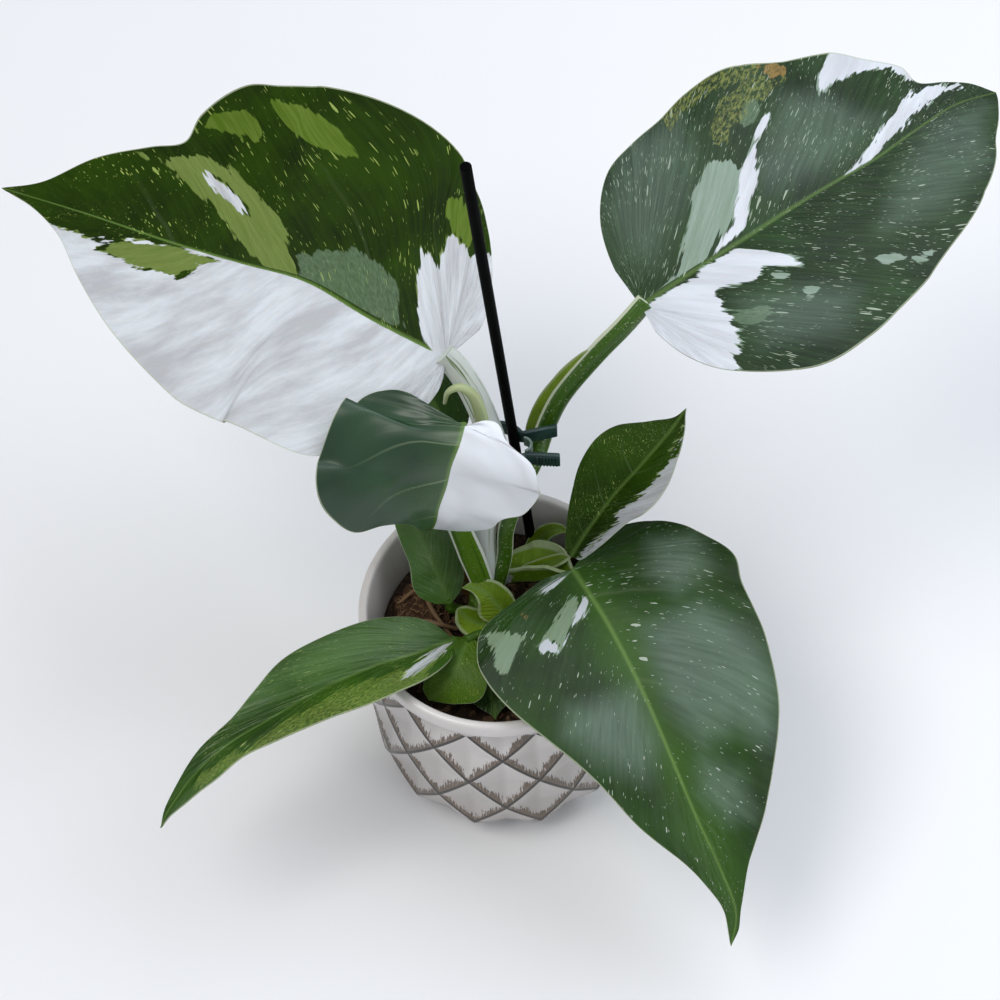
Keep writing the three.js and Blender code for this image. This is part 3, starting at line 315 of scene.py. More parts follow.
# Channelled stalks and leafy sheaths, each a thin strip with its own midrib and halves
SHEATHS = {
  "low_right_stalk": {
    "thick": 1.6,
    "midrib": [[0, 17, 109], [10, 17, 112], [20, 15, 114.5], [30, 13, 120.5], [36.8, 8, 129.8]],
    "facing": [[0, 0.1, 1], [0, 0.1, 1], [-0.3, 0, 1]],
    "right": {
      "fold": [92, 95, 90, 60], "curl": [0, 20, 0],
      "margin": [[0, 0], [0, 6], [0.12, 9], [0.27, 8], [0.42, 9.5], [0.6, 9.5], [0.78, 8.5], [0.92, 5],
        [1, 0]],
    },
    "left": {
      "fold": [38, 42, 30], "curl": [50, 50, 0],
      "margin": [[0, 0], [0, 5], [0.12, 9], [0.28, 15], [0.46, 18], [0.64, 18], [0.8, 13], [0.92, 5],
        [1, 0]],
    },
  },
  "upright_right_stalk": {
    "thick": 1.2,
    "midrib": [[14, 19, 116.5], [21, 18.5, 120], [28, 17, 126], [35.4, 14.6, 133.8]],
    "facing": [[0, -0.3, 1], [0, -0.3, 1], [0, -0.2, 1]],
    "right": {"fold": [20, 25, 30], "curl": [60, 60, 0], "margin": [[0, 0], [0, 2.5], [0.4, 3.4],
      [0.85, 3], [1, 0]]},
    "left": {"fold": [30, 35, 30], "curl": [30, 30, 0], "margin": [[0, 0], [0, 3], [0.4, 4], [0.85, 3],
      [1, 0]]},
  },
  "broad_right_sheath": {
    "thick": 0.9,
    "midrib": [[21, 51, 177], [25, 54, 187], [31, 56, 200], [38, 56, 214], [44, 56, 227], [50, 56, 240]],
    "facing": [[-0.4, -0.8, 0.3], [-0.4, -0.8, 0.4], [-0.4, -0.8, 0.4]],
    "right": {"fold": [0, 0, 0], "curl": [20, 20, 20], "margin": [[0, 0], [0, 3], [0.3, 5], [0.7, 4],
      [0.9, 2], [1, 0]]},
    "left": {"fold": [10, 10, 5], "curl": [60, 60, 30], "margin": [[0, 0], [0, 3], [0.3, 6], [0.65, 6],
      [0.9, 3], [1, 0]]},
  },
  "ear_sheath": {
    "thick": 0.9,
    "midrib": [[-2, -3, 105], [-8, -2, 106.5], [-14, 0, 109], [-19, 3, 114]],
    "facing": [[-0.1, -0.3, 1], [0, -0.4, 1], [0.2, -0.4, 1]],
    "right": {
      "fold": [20, 20, 15], "curl": [200, 200, 100],
      "margin": [[0, 0], [0, 4], [0.25, 6.5], [0.55, 7], [0.85, 5], [0.97, 2], [1, 0]],
    },
    "left": {
      "fold": [20, 20, 15], "curl": [200, 200, 100],
      "margin": [[0, 0], [0, 4], [0.25, 8], [0.55, 9], [0.85, 6], [0.97, 2], [1, 0]],
    },
  },
  "pointed_sheath": {
    "thick": 0.9,
    "midrib": [[6, -1, 107], [1, 2, 114], [-4, 6, 120], [-10, 9, 122], [-16, 10, 121]],
    "facing": [[-0.3, -0.8, 0.8], [-0.2, -0.6, 1], [-0.1, -0.4, 1]],
    "right": {
      "fold": [10, 10, 5], "curl": [-60, -60, -60],
      "margin": [[0, 0], [0, 5], [0.3, 9], [0.5, 8], [0.7, 4.5], [0.88, 1.6], [1, 0]],
    },
    "left": {
      "fold": [10, 10, 5], "curl": [-60, -60, -60],
      "margin": [[0, 0], [0, 5], [0.3, 10], [0.5, 7], [0.7, 3.5], [0.88, 1.4], [1, 0]],
    },
  },
  "back_sheath": {
    "thick": 0.9,
    "midrib": [[14, 28, 97], [20, 38, 106], [26, 40, 115], [32, 39, 119], [37, 37, 118]],
    "facing": [[-0.6, -0.6, 0.6], [-0.4, -0.5, 0.9], [0.1, -0.4, 1]],
    **both_halves(
      fold=[20, 20, 10], curl=[100, 100, 60], margin=[[0, 0], [0, 3], [0.3, 5], [0.7, 3], [1, 0]]),
  },
  "dried_sheath": {
    "thick": 0.9,
    "midrib": [[-11, 17, 98], [-15, 26, 106], [-17, 30, 114], [-21, 33, 119], [-27, 35, 119]],
    "facing": [[-0.5, -0.6, 0.6], [-0.4, -0.6, 0.8], [-0.2, -0.5, 1]],
    **both_halves(
      fold=[30, 20, 10], curl=[200, 200, 100], margin=[[0, 0], [0, 2], [0.3, 5], [0.7, 3], [1, 0]]),
  },
}


# Painted patches of each half: the ground it starts from, then outlines of (along, out) in millimetres, where
# a later one lies over an earlier one. "dark" gives the ordinary green back. The sheen layer is painted sheen:
# it greys and lightens the green it lies on, in soft patches.
PAINT = {
  "broad_left": {
    "left": ("white", [
      ("dark", [(260, -5), (260, 20), (203, 10), (193, 12), (183, 11), (163, 4), (145, 0), (145, -5)]),
      ("pale", [(181, 15), (167, 17), (143, 16), (135, 8), (125, 2), (152, 1), (176, 8)])]),
    "right": ("dark", [
      # The grey-green patch by the base of this half is a painted reflection
      ("sage_and_painted_reflection", [(81, 0), (90, 10), (75, 18), (63, 23), (51, 23), (38, 21), (28, 10), (20, 3)]),
      ("pale", [(189, 36), (174, 36), (161, 44), (143, 44), (128, 37), (107, 27), (93, 15), (82, 0),
                (99, 0), (113, 5), (125, 13), (141, 22), (159, 27), (172, 32)]),
      ("white", [(153, 37), (138, 33), (127, 27), (120, 22), (137, 27), (148, 32)]),
      ("olive", [(168, 59), (165, 67), (152, 71), (140, 69), (134, 62), (134, 56), (148, 61), (163, 60)]),
      ("olive", [(136, 78), (118, 79), (95, 73), (81, 62), (94, 61), (111, 65), (127, 72)]),
      ("olive", [(41, 64), (33, 69), (15, 56), (14, 49), (23, 51), (35, 58)]),
      ("white", [(1, -3), (13, 3), (23, 13), (32, 30), (36, 39), (23, 35), (27, 49), (24, 51), (12, 47),
                 (-10, 60), (-20, 30), (-12, -3)])]),
  },
  "broad_right": {
    "left": ("dark", [
      ("painted_sheen", [(112, 46), (137, 40), (148, 15), (128, 10), (103, 8), (74, 12), (76, 24), (95, 35)]),
      ("painted_sheen", [(11, 47), (34, 67), (64, 64), (55, 44), (32, 26), (12, 12), (7, 22)]),
      ("yellowed", [(55, 74), (79, 77), (100, 76), (119, 70), (113, 58), (94, 65), (79, 67), (55, 63)]),
      ("yellowed", [(115, 62), (129, 55), (107, 50), (85, 48), (71, 41), (66, 47), (86, 58), (103, 62)]),
      ("rusty", [(111, 66), (122, 66), (131, 60), (122, 56), (112, 58)]),
      ("pale", [(0, 1), (17, 3), (36, 23), (59, 40), (67, 34), (71, 26), (52, 11), (29, 1)]),
      ("sage_and_painted_reflection", [(86, 47), (95, 54), (100, 52), (99, 46), (88, 41)]),
      ("white", [(82, 34), (70, 18), (52, 4), (29, 1), (48, 8), (68, 25)]),
      ("white", [(82, 36), (90, 42), (98, 44), (99, 42), (88, 37)]),
      ("white", [(135, 40), (145, 48), (167, 60), (190, 40), (182, 20), (176, 20), (173, 32), (161, 39)]),
      ("white", [(106, 0), (125, 3), (149, 11), (171, 16), (193, 8), (172, 8), (152, 5), (127, 1)])]),
    "right": ("dark", [
      ("painted_sheen", [(28, 24), (53, 37), (70, 51), (51, 63), (25, 51)]),
      ("painted_sheen", [(168, 3), (199, 6), (172, 33), (135, 38), (103, 32), (131, 14)]),
      ("sage_and_painted_reflection", [(22, 28), (36, 34), (34, 40), (22, 40)]),
      ("white", [(-5, 2), (20, 2), (42, 2), (52, 11), (58, 27), (44, 17), (40, 23), (25, 14), (22, 31),
                 (21, 38), (9, 60), (-12, 45)]),
      ("pale", [(46, 17), (52, 28), (45, 28)]),
      ("pale", [(92, 44), (99, 46), (99, 47.5), (91, 46.5)]),
      ("pale", [(106, 51), (117, 52), (112, 54), (106, 53.5)]),
      ("pale", [(52, 38), (56, 39), (53, 43), (49, 42)])]),
  },
  "drooping": {
    "left": ("white", []),
    "right": ("dark", [
      ("yellowed", [(36, 1), (47, 1), (56, 12), (50, 20), (47, 24), (41, 18)]),
      ("yellowed", [(25, 3), (37, 21), (49, 25), (56, 30), (44, 27), (31, 19)])]),
  },
  "low_left": {
    "right": ("dark", [
      ("painted_sheen", [(4, 4), (30, 4), (62, 5), (78, 14), (60, 19), (30, 18), (12, 12)]),
      ("painted_sheen", [(78, 9), (96, 10), (104, 14), (96, 20), (82, 18)])]),
    "left": ("dark", [
      ("yellowed", [(15, 12), (46, 10), (76, 9), (98, 10), (125, 4), (135, 6), (118, 13), (94, 20),
                    (67, 26), (45, 29), (28, 27)]),
      ("pale", [(99, 5), (102, 9), (100, 14), (97, 10)]),
      ("white", [(2, 2), (8, 1), (17, 4), (27, 11), (33, 17), (29, 18), (20, 13), (12, 9)])]),
  },
  "upright_right": {
    "right": ("white", [
      ("dark", [(-5, -3), (95, -3), (80, 5), (61, 12), (54, 15), (46, 17), (38, 13), (31, 10), (32, 15),
                (26, 13), (15, 8), (0, 4)]),
      ("pale", [(75, 4), (68, 6), (63, 8), (67, 6)]),
      ("dark", [(84, 4), (68, 8), (60, 11), (64, 14), (76, 8)])]),
  },
  "low_right": {
    "left": ("dark", [
      ("painted_sheen", [(12, 37), (24, 56), (42, 54), (48, 35), (33, 30)]),
      ("painted_sheen", [(57, 13), (56, 43), (83, 57), (97, 58), (117, 45), (105, 33), (106, 16), (90, 9)]),
      ("painted_sheen", [(112, 13), (123, 24), (139, 23), (137, 13), (124, 7)])]),
    "right": ("dark", [
      ("painted_sheen", [(76, 34), (80, 5), (100, 5), (109, 15), (97, 33), (85, 41)]),
      ("pale", [(18, 4), (30, 4), (39, 14), (50, 27), (42, 36), (35, 26), (24, 13)]),
      ("white", [(19, 2), (30, 4), (39, 14), (47, 24), (38, 15), (28, 7)]),
      ("white", [(44, 26), (50, 27), (44, 35), (41, 32)]),
      ("pale", [(22, 52), (26, 42), (33, 38), (40, 47), (48, 56), (34, 55)]),
      ("sage_and_painted_reflection", [(0, 1), (1, 11), (10, 22), (11, 18), (6, 7)]),
      ("white", [(4, 8), (8, 12), (11, 19), (8, 18)]),
      ("rusty", [(20, 31.5), (22.5, 32), (22, 35), (19.5, 34)])]),
  },
  "low_right_stalk": {
    "right": ("dark", [("white", [(-3, -3), (8, -3), (10, 5), (4, 12), (-3, 12)])]),
    "left": ("dark", [("white", [(-3, -3), (7, -3), (4, 8), (-3, 8)])]),
  },
}
for name, halves in PAINT.items():
    for side, (ground, patches) in halves.items():
        {**LEAVES, **SHEATHS}[name][side].update(ground=ground, patches=patches)


# Shapes of the sheets and tubes
def curve_through(points, t):
    """Points at t, from 0 to 1 spread evenly over them, of a smooth curve through the points."""
    p = np.asarray(points, float)
    last = len(p) - 1
    place = np.clip(t, 0, 1) * last
    i = np.minimum(place.astype(int), last - 1)
    w = (place - i)[..., None]
    p = np.vstack([2 * p[0] - p[1], p, 2 * p[-1] - p[-2]])
    before, start, end, after = p[i], p[i + 1], p[i + 2], p[i + 3]
    leave, arrive = (end - before) / 2, (after - start) / 2
    bend = 2 * start - 2 * end + leave + arrive
    return bend * w ** 3 + (3 * end - 3 * start - 2 * leave - arrive) * w ** 2 + leave * w + start


def along(values, t):
    """The value at t, from 0 to 1, between values that are spread evenly."""
    return np.interp(np.clip(t, 0, 1), np.linspace(0, 1, len(values)), values)


def unit(v):
    return v / np.linalg.norm(v, axis=-1, keepdims=True)


def midrib_length(leaf):
    steps = np.diff(curve_through(leaf["midrib"], np.linspace(0, 1, 101)), axis=0)
    return np.linalg.norm(steps, axis=1).sum()


def leaf_frame(leaf, u, length):
    """Centre, the way out to the right, and the way the face looks, at u along the midrib."""
    midrib = leaf["midrib"]
    middle = np.clip(u, 1e-3, 1 - 1e-3)
    heading = unit(curve_through(midrib, middle + 1e-3) - curve_through(midrib, middle - 1e-3))
    facing = np.stack([along([way[axis] for way in leaf["facing"]], u) for axis in range(3)], -1)
    out = unit(np.cross(heading, facing))
    past = np.minimum(u, 0) + np.maximum(u - 1, 0)
    centre = curve_through(midrib, u) + heading * (past * length)[..., None]
    return centre, out, np.cross(out, heading)


def half_blade(leaf, side, step, r):
    """Points of half a blade at step along its margin and r of the way out, with their place on the blade."""
    half = leaf["right" if side > 0 else "left"]
    length = midrib_length(leaf)
    # The margin's first stretch is the edge at the stalk's end, which the first vein draws
    first = 1 / (len(half["margin"]) - 1)
    a = first + (1 - first) * step
    edge = curve_through(half["margin"], a)
    lobe = leaf.get("lobe", 0 if "thick" in leaf else LOBE_SHARE)
    root = np.clip((step - lobe) / (1 - lobe), 0, 1) ** VEIN_SPREAD
    bow = VEIN_BOW * np.clip(step / LOBE_SHARE, 0, 1) ** 2
    bend = root + (edge[..., 0] - root) / 2 - bow * edge[..., 1] / length
    u = (1 - r) ** 2 * root + 2 * r * (1 - r) * bend + r * r * edge[..., 0]
    v = r * edge[..., 1]
    lift = 0 * r
    for place, wide, high in half.get("waves", ()):
        lift = lift + high * np.exp(-(((a - place) / wide) ** 2))
    lift = lift * r ** WAVE_REACH
    fold = np.radians(along(half["fold"], u))
    curl = np.radians(along(half["curl"], u)) / 100
    curl = np.where(np.abs(curl) < 1e-6, 1e-6, curl)
    centre, out, face = leaf_frame(leaf, u, length)
    across = side * (np.sin(fold + curl * v) - np.sin(fold)) / curl
    above = (np.cos(fold) - np.cos(fold + curl * v)) / curl + lift
    return centre + out * across[..., None] + face * above[..., None], u * length, v


def inside_distance(outline, u, v):
    """Distance in millimetres to an outline of (along, out) corners, above zero inside it."""
    x, y = u.ravel(), v.ravel()
    nearest = np.full(x.shape, 1e9)
    within = np.zeros(x.shape, bool)
    for (x0, y0), (x1, y1) in zip(outline, outline[1:] + outline[:1]):
        dx, dy = x1 - x0, y1 - y0
        t = np.clip(((x - x0) * dx + (y - y0) * dy) / (dx * dx + dy * dy), 0, 1)
        nearest = np.minimum(nearest, np.hypot(x - x0 - t * dx, y - y0 - t * dy))
        if y0 != y1:
            within ^= ((y0 > y) != (y1 > y)) & (x < x0 + (y - y0) * dx / dy)
    return np.where(within, nearest, -nearest).reshape(u.shape)


# Pieces
def start_piece(name):
    """Names the object that an operator has just added, and leaves nothing selected."""
    for other in bpy.context.selected_objects:
        other.select_set(False)
    piece = bpy.context.active_object
    piece.name = piece.data.name = name
    return piece


def finish_piece(piece, body, node, angle=60):
    """Bakes a piece's place into its mesh, smooths it, and lets it ride and stand for its node."""
    for other in bpy.context.selected_objects:
        other.select_set(False)
    piece.select_set(True)
    bpy.context.view_layer.objects.active = piece
    bpy.ops.object.transform_apply(location=True, rotation=True, scale=True)
    bpy.ops.object.shade_smooth_by_angle(angle=math.radians(angle))
    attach(piece, body)
    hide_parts(node)


def new_grid(name, columns, rows):
    """A flat grid whose corners run over 0 to 1 both ways, returned with those two shares for each vertex."""
    bpy.ops.object.select_all(action="DESELECT")
    bpy.ops.mesh.primitive_grid_add(x_subdivisions=columns, y_subdivisions=rows, size=2)
    piece = start_piece(name)
    flat = np.zeros(len(piece.data.vertices) * 3)
    piece.data.vertices.foreach_get("co", flat)
    flat = flat.reshape(-1, 3)
    return piece, np.round((flat[:, 0] + 1) / 2, 6), np.round((flat[:, 1] + 1) / 2, 6)


def set_points(piece, points):
    piece.data.vertices.foreach_set("co", (np.asarray(points) * MM).ravel())
    piece.data.update()


def add_values(piece, name, values):
    piece.data.attributes.new(name, "FLOAT", "POINT").data.foreach_set("value", np.asarray(values, float))


def add_map(piece, name, x, y):
    """A UV map from one x and y for each vertex."""
    corner = np.zeros(len(piece.data.loops), int)
    piece.data.loops.foreach_get("vertex_index", corner)
    layer = piece.data.uv_layers.new(name=name)
    layer.data.foreach_set("uv", np.stack([x[corner], y[corner]], -1).ravel())


def join(pieces):
    bpy.ops.object.select_all(action="DESELECT")
    for piece in pieces:
        piece.select_set(True)
    bpy.context.view_layer.objects.active = pieces[0]
    bpy.ops.object.join()
    return pieces[0]


def weld(piece, distance, outward=False):
    """Merges points nearer than distance, drops what that leaves empty, and closes open ends when asked."""
    bm = bmesh.new()
    bm.from_mesh(piece.data)
    bmesh.ops.remove_doubles(bm, verts=bm.verts, dist=distance * MM)
    bmesh.ops.dissolve_degenerate(bm, edges=bm.edges, dist=distance * MM / 10)
    if outward:
        bmesh.ops.holes_fill(bm, edges=[e for e in bm.edges if e.is_boundary], sides=0)
        bmesh.ops.recalc_face_normals(bm, faces=bm.faces)
    bm.to_mesh(piece.data)
    bm.free()


def apply_modifiers(piece):
    bpy.ops.object.select_all(action="DESELECT")
    piece.select_set(True)
    bpy.context.view_layer.objects.active = piece
    for modifier in list(piece.modifiers):
        bpy.ops.object.modifier_apply(modifier=modifier.name)


def paint_layers(half, u, v):
    """How far inside each paint layer a point lies, in millimetres; the bare ground reaches to the midrib."""
    layers = {layer: np.full(u.shape, -PAINT_FAR) for layer in LAYERS}
    if half.get("ground") == "white":
        layers["white"] = np.minimum(v + GROUND_LAP, PAINT_FAR)
    else:
        layers["white"] = np.maximum(-v - GROUND_LAP, -PAINT_FAR)
    for colour, outline in half.get("patches", ()):
        inside = inside_distance(outline, u, v)
        for layer in LAYERS:
            if layer == colour:
                layers[layer] = np.maximum(layers[layer], inside)
            # The painted sheen neither cuts the other layers nor is cut by them
            elif "painted_sheen" not in (layer, colour):
                layers[layer] = np.minimum(layers[layer], -inside)
    return layers


def blade(name, leaf, columns, rows, finishes, thick=BLADE_THICK):
    """A blade or sheath: a painted grid for each half, joined at the midrib and given thickness.

    Its map "veins" runs along the margin and out from the midrib, and "place" counts in tenths of a metre.
    """
    halves = []
    paint = []
    for side, half in ((1, leaf["right"]), (-1, leaf["left"])):
        piece, step, r = new_grid(name, columns, rows)
        points, u, v = half_blade(leaf, side, step, r)
        set_points(piece, points)
        paint.append(paint_layers(half, u, v))
        add_map(piece, "veins", step + (0 if side > 0 else LEFT_VEINS), r)
        add_map(piece, "place", u * MM * 10, side * v * MM * 10)
        if side > 0:
            piece.data.flip_normals()
        halves.append(piece)
    for layer in LAYERS:
        shared = np.minimum(paint[0][layer], paint[1][layer])
        for piece, values in zip(halves, paint):
            add_values(piece, layer, np.where(r == 0, shared, values[layer]))
    sheet = join(halves)
    weld(sheet, SEAM)
    for finish in finishes:
        sheet.data.materials.append(finish)
    wall = sheet.modifiers.new("thickness", "SOLIDIFY")
    wall.thickness = thick * MM
    wall.offset = 0
    wall.material_offset = len(finishes) - 1
    apply_modifiers(sheet)
    return sheet


def tube(name, part, around, steps, finish, rough=None):
    """A tube of oval section along a route, closed at both ends; its map runs along it and round it."""
    piece, t, turn = new_grid(name, steps, around)
    route = part["route"]
    before, after = np.maximum(0, t - 0.01), np.minimum(1, t + 0.01)
    heading = unit(curve_through(route, after) - curve_through(route, before))
    side = unit(np.cross(heading, np.array(part.get("up", (0, 0, 1)), float)))
    top = np.cross(side, heading)
    angle = 2 * math.pi * turn
    wide, deep = along(part["wide"], t), along(part["deep"], t)
    if rough:
        wide, deep = wide + rough(t, angle), deep + rough(t, angle)
    points = (curve_through(route, t) + side * (np.cos(angle) * wide)[:, None]
              + top * (np.sin(angle) * deep)[:, None])
    set_points(piece, points)
    length = np.linalg.norm(np.diff(curve_through(route, np.linspace(0, 1, 60)), axis=0), axis=1).sum()
    add_map(piece, "veins", t * length * MM * 10, turn)
    weld(piece, CLOSE, outward=True)
    piece.data.materials.append(finish)
    return piece


# Finishes
def linear(hex_colour):
    """An sRGB colour such as "9AB07C" as the linear values that a shader takes."""
    channels = [int(hex_colour[i:i + 2], 16) / 255 for i in (0, 2, 4)]
    return (*[c / 12.92 if c <= 0.04045 else ((c + 0.055) / 1.055) ** 2.4 for c in channels], 1)


def add(tree, kind, links=(), **settings):
    """Adds a node with its settings, and gives each input a value or the output of another node."""
    node = tree.nodes.new("ShaderNode" + kind)
    for name, value in settings.items():
        setattr(node, name, value)
    for socket, value in dict(links).items():
        if isinstance(value, bpy.types.Node):
            value = next(output for output in value.outputs if output.enabled)
        if isinstance(value, bpy.types.NodeSocket):
            tree.links.new(value, node.inputs[socket])
        else:
            node.inputs[socket].default_value = value
    return node


def new_finish(name, **surface):
    """A finish with its Principled shader, whose plain sockets are set here by name."""
    finish = bpy.data.materials.new(name)
    finish.use_nodes = True
    shader = finish.node_tree.nodes["Principled BSDF"]
    for socket, value in surface.items():
        shader.inputs[socket.replace("_", " ")].default_value = value
    return finish, finish.node_tree, shader


def connect(tree, shader, colour, relief):
    """Gives the shader its colour, and the surface its relief."""
    tree.links.new(next(output for output in colour.outputs if output.enabled), shader.inputs["Base Color"])
    tree.links.new(relief.outputs[0], shader.inputs["Normal"])


def blade_finish(name, dark, leaf, light, pale="8CA06C", white="C4C9CE", fleck="B4C49A", flecked=0.3,
                 dusted=0.4, grain=0.2, matte=0.42, gloss=0.3, glow=0.0, rumple=0.5, ripples=26, crisp=5,
                 shaded=0.75, rim=0.992, laterals=0.1, ribbed=0.6, painted_sheen_share=0.25, painted_sheen="859B8C",
                 freckled="7F8642", under=0.0):
    """A philodendron blade: satin green with slanting veins, and white or pale patches with frayed edges.

    Shares set how much shows: "flecked" and "dusted" the larger and the finest flecks, "grain" the streaks,
    "glow" the band by the midrib, "laterals" the side veins, "ribbed" the midrib, "shaded" the painted shade
    of the grey waves in the white parts, "painted_sheen_share" the painted sheen, and "under" the dull green
    of an underside. "ripples" and "crisp" are how many waves lie along the margin and how fine they are, and
    the margin's light line starts at "rim".
    """
    finish, tree, shader = new_finish(name, Roughness=matte, Specular_IOR_Level=gloss, Subsurface_Weight=0.05,
                                      Subsurface_Scale=0.002)
    veins = add(tree, "UVMap", uv_map="veins")
    place = add(tree, "UVMap", uv_map="place")
    parts = add(tree, "SeparateXYZ", {0: place})
    reach = add(tree, "SeparateXYZ", {0: veins})
    out = add(tree, "Math", {0: parts.outputs["Y"]}, operation="ABSOLUTE")
    # Patches fray along the veins in fine and broad fingers, but keep to the midrib where they meet it: how
    # many fingers lie along the margin, how often they break on the way out, and how far they reach in mm
    shifts = []
    for across, lengthwise, reach_mm in ((75, 4, 1.6), (24, 2, 2.6), (48, 3, 3)):
        at = add(tree, "Mapping", {"Vector": veins, "Scale": (across, lengthwise, 1)})
        wobble = add(tree, "TexNoise", {"Vector": at, "Scale": 1, "Detail": 3, "Roughness": 0.65})
        shifts.append(add(tree, "MapRange", {"Value": wobble, 1: 0.3, 2: 0.7, 3: -reach_mm, 4: reach_mm}))
    off_rib = add(tree, "MapRange", {"Value": out, 1: 0, 2: 0.05})
    fray = add(tree, "Math", {0: shifts[0], 1: shifts[1]}, operation="ADD")
    fray = add(tree, "Math", {0: fray, 1: off_rib}, operation="MULTIPLY")
    stray = add(tree, "Math", {0: shifts[2], 1: off_rib}, operation="MULTIPLY")
    masks = {}
    for layer in LAYERS:
        distance = add(tree, "Attribute", attribute_name=layer)
        frayed = add(tree, "Math", {0: distance.outputs["Fac"], 1: fray}, operation="ADD")
        masks[layer] = add(tree, "MapRange", {"Value": frayed, 1: -0.4, 2: 0.4},
                           interpolation_type="SMOOTHSTEP")
        if layer == "white":
            halo = add(tree, "Math", {0: frayed, 1: stray}, operation="ADD")
            halo = add(tree, "MapRange", {"Value": halo, 1: -0.4, 2: 0.4},
                       interpolation_type="SMOOTHSTEP")
    # Green: broad clouds, a grain that follows the veins, and a lighter band by the midrib
    cloud = add(tree, "TexNoise", {"Vector": place, "Scale": 2.6, "Detail": 3})
    streak_at = add(tree, "Mapping", {"Vector": veins, "Scale": (110, 2.5, 1)})
    streak = add(tree, "TexNoise", {"Vector": streak_at, "Scale": 1, "Detail": 3, "Roughness": 0.65})
    deep = add(tree, "MapRange", {"Value": cloud, 1: 0.35, 2: 0.65})
    green = add(tree, "Mix", {0: deep, 6: linear(dark), 7: linear(leaf)}, data_type="RGBA")
    lit = add(tree, "MapRange", {"Value": streak, 1: 0.4, 2: 0.8, 3: 0, 4: grain})
    green = add(tree, "Mix", {0: lit, 6: green, 7: linear(light)}, data_type="RGBA")
    inner = add(tree, "MapRange", {"Value": out, 1: 0, 2: 0.16, 3: glow, 4: 0})
    green = add(tree, "Mix", {0: inner, 6: green, 7: linear(light)}, data_type="RGBA")
    # Main side veins: thin light lines that fade on the way out
    sway = add(tree, "Math", {0: cloud, 1: 0.2}, operation="MULTIPLY")
    count = add(tree, "Math", {0: reach.outputs["X"], 1: 6}, operation="MULTIPLY")
    count = add(tree, "Math", {0: count, 1: sway}, operation="ADD")
    beside = add(tree, "Math", {0: count, 1: 0.5}, operation="PINGPONG")
    line = add(tree, "MapRange", {"Value": beside, 1: 0.012, 2: 0.03, 3: laterals, 4: 0})
    faded = add(tree, "MapRange", {"Value": reach.outputs["Y"], 1: 0.2, 2: 0.85, 3: 1, 4: 0})
    line = add(tree, "Math", {0: line, 1: faded}, operation="MULTIPLY")
    green = add(tree, "Mix", {0: line, 6: green, 7: linear("A9B890")}, data_type="RGBA")
    # Flecks: dashes along the veins in three sizes, gathered in loose drifts
    drift = add(tree, "TexNoise", {"Vector": place, "Scale": 5, "Detail": 2})
    gather = add(tree, "MapRange", {"Value": drift, 1: 0.4, 2: 0.6, 3: 0.15, 4: 1})
    strength = 0
    for across, lengthwise, share, largest in ((70, 5, 0.1 * flecked, 0.24), (210, 9, 0.4 * flecked, 0.26),
                                               (380, 18, 0.5 * dusted, 0.28)):
        at = add(tree, "Mapping", {"Vector": veins, "Scale": (across, lengthwise, 1)})
        cell = add(tree, "TexVoronoi", {"Vector": at, "Scale": 1}, voronoi_dimensions="2D")
        toss = add(tree, "SeparateXYZ", {0: cell.outputs["Color"]})
        size = add(tree, "MapRange", {"Value": toss.outputs["X"], 1: 1 - share, 2: 1, 3: 0, 4: largest})
        size = add(tree, "Math", {0: size, 1: gather}, operation="MULTIPLY")
        dash = add(tree, "Math", {0: cell.outputs["Distance"], 1: size}, operation="LESS_THAN")
        strength = add(tree, "Math", {0: strength, 1: dash}, operation="MAXIMUM")
    strength = add(tree, "Math", {0: strength, 1: 0.75}, operation="MULTIPLY")
    green = add(tree, "Mix", {0: strength, 6: green, 7: linear(fleck)}, data_type="RGBA")
    # Pale and grey-green parts, with fine parallel lines; one grey-green patch is a painted reflection
    freckle_at = add(tree, "Mapping", {"Vector": veins, "Scale": (190, 40, 1)})
    freckle = add(tree, "TexNoise", {"Vector": freckle_at, "Scale": 1, "Detail": 3, "Roughness": 0.7})
    fine = add(tree, "MapRange", {"Value": streak, 1: 0.35, 2: 0.7, 3: 0, 4: 0.4})
    soft = add(tree, "Mix", {0: fine, 6: linear(pale), 7: linear(light)}, data_type="RGBA")
    mist = add(tree, "MapRange", {"Value": freckle, 1: 0.35, 2: 0.65, 3: 0.3, 4: 0.6})
    mist = add(tree, "Math", {0: masks["sage_and_painted_reflection"], 1: mist}, operation="MULTIPLY")
    colour = add(tree, "Mix", {0: mist, 6: green, 7: linear("748C6E")}, data_type="RGBA")
    border = add(tree, "Math", {0: halo, 1: masks["pale"]}, operation="MAXIMUM")
    border = add(tree, "Math", {0: border, 1: 0.9}, operation="MULTIPLY")
    colour = add(tree, "Mix", {0: border, 6: colour, 7: soft}, data_type="RGBA")
    olive = add(tree, "Mix", {0: fine, 6: linear("4B6416"), 7: linear("7F9446")}, data_type="RGBA")
    colour = add(tree, "Mix", {0: masks["olive"], 6: colour, 7: olive}, data_type="RGBA")
    # Painted sheen: broad soft patches of grey-green highlight over the green, streaked along the veins
    painted_sheen_mask = add(tree, "Attribute", attribute_name="painted_sheen")
    painted_sheen_mask = add(tree, "MapRange", {"Value": painted_sheen_mask.outputs["Fac"], 1: -9, 2: 9}, interpolation_type="SMOOTHSTEP")
    dull = add(tree, "MapRange", {"Value": streak, 1: 0.3, 2: 0.7, 3: 0.75 * painted_sheen_share, 4: 1.25 * painted_sheen_share})
    painted_sheen_mask = add(tree, "Math", {0: painted_sheen_mask, 1: dull}, operation="MULTIPLY")
    colour = add(tree, "Mix", {0: painted_sheen_mask, 6: colour, 7: linear(painted_sheen)}, data_type="RGBA")
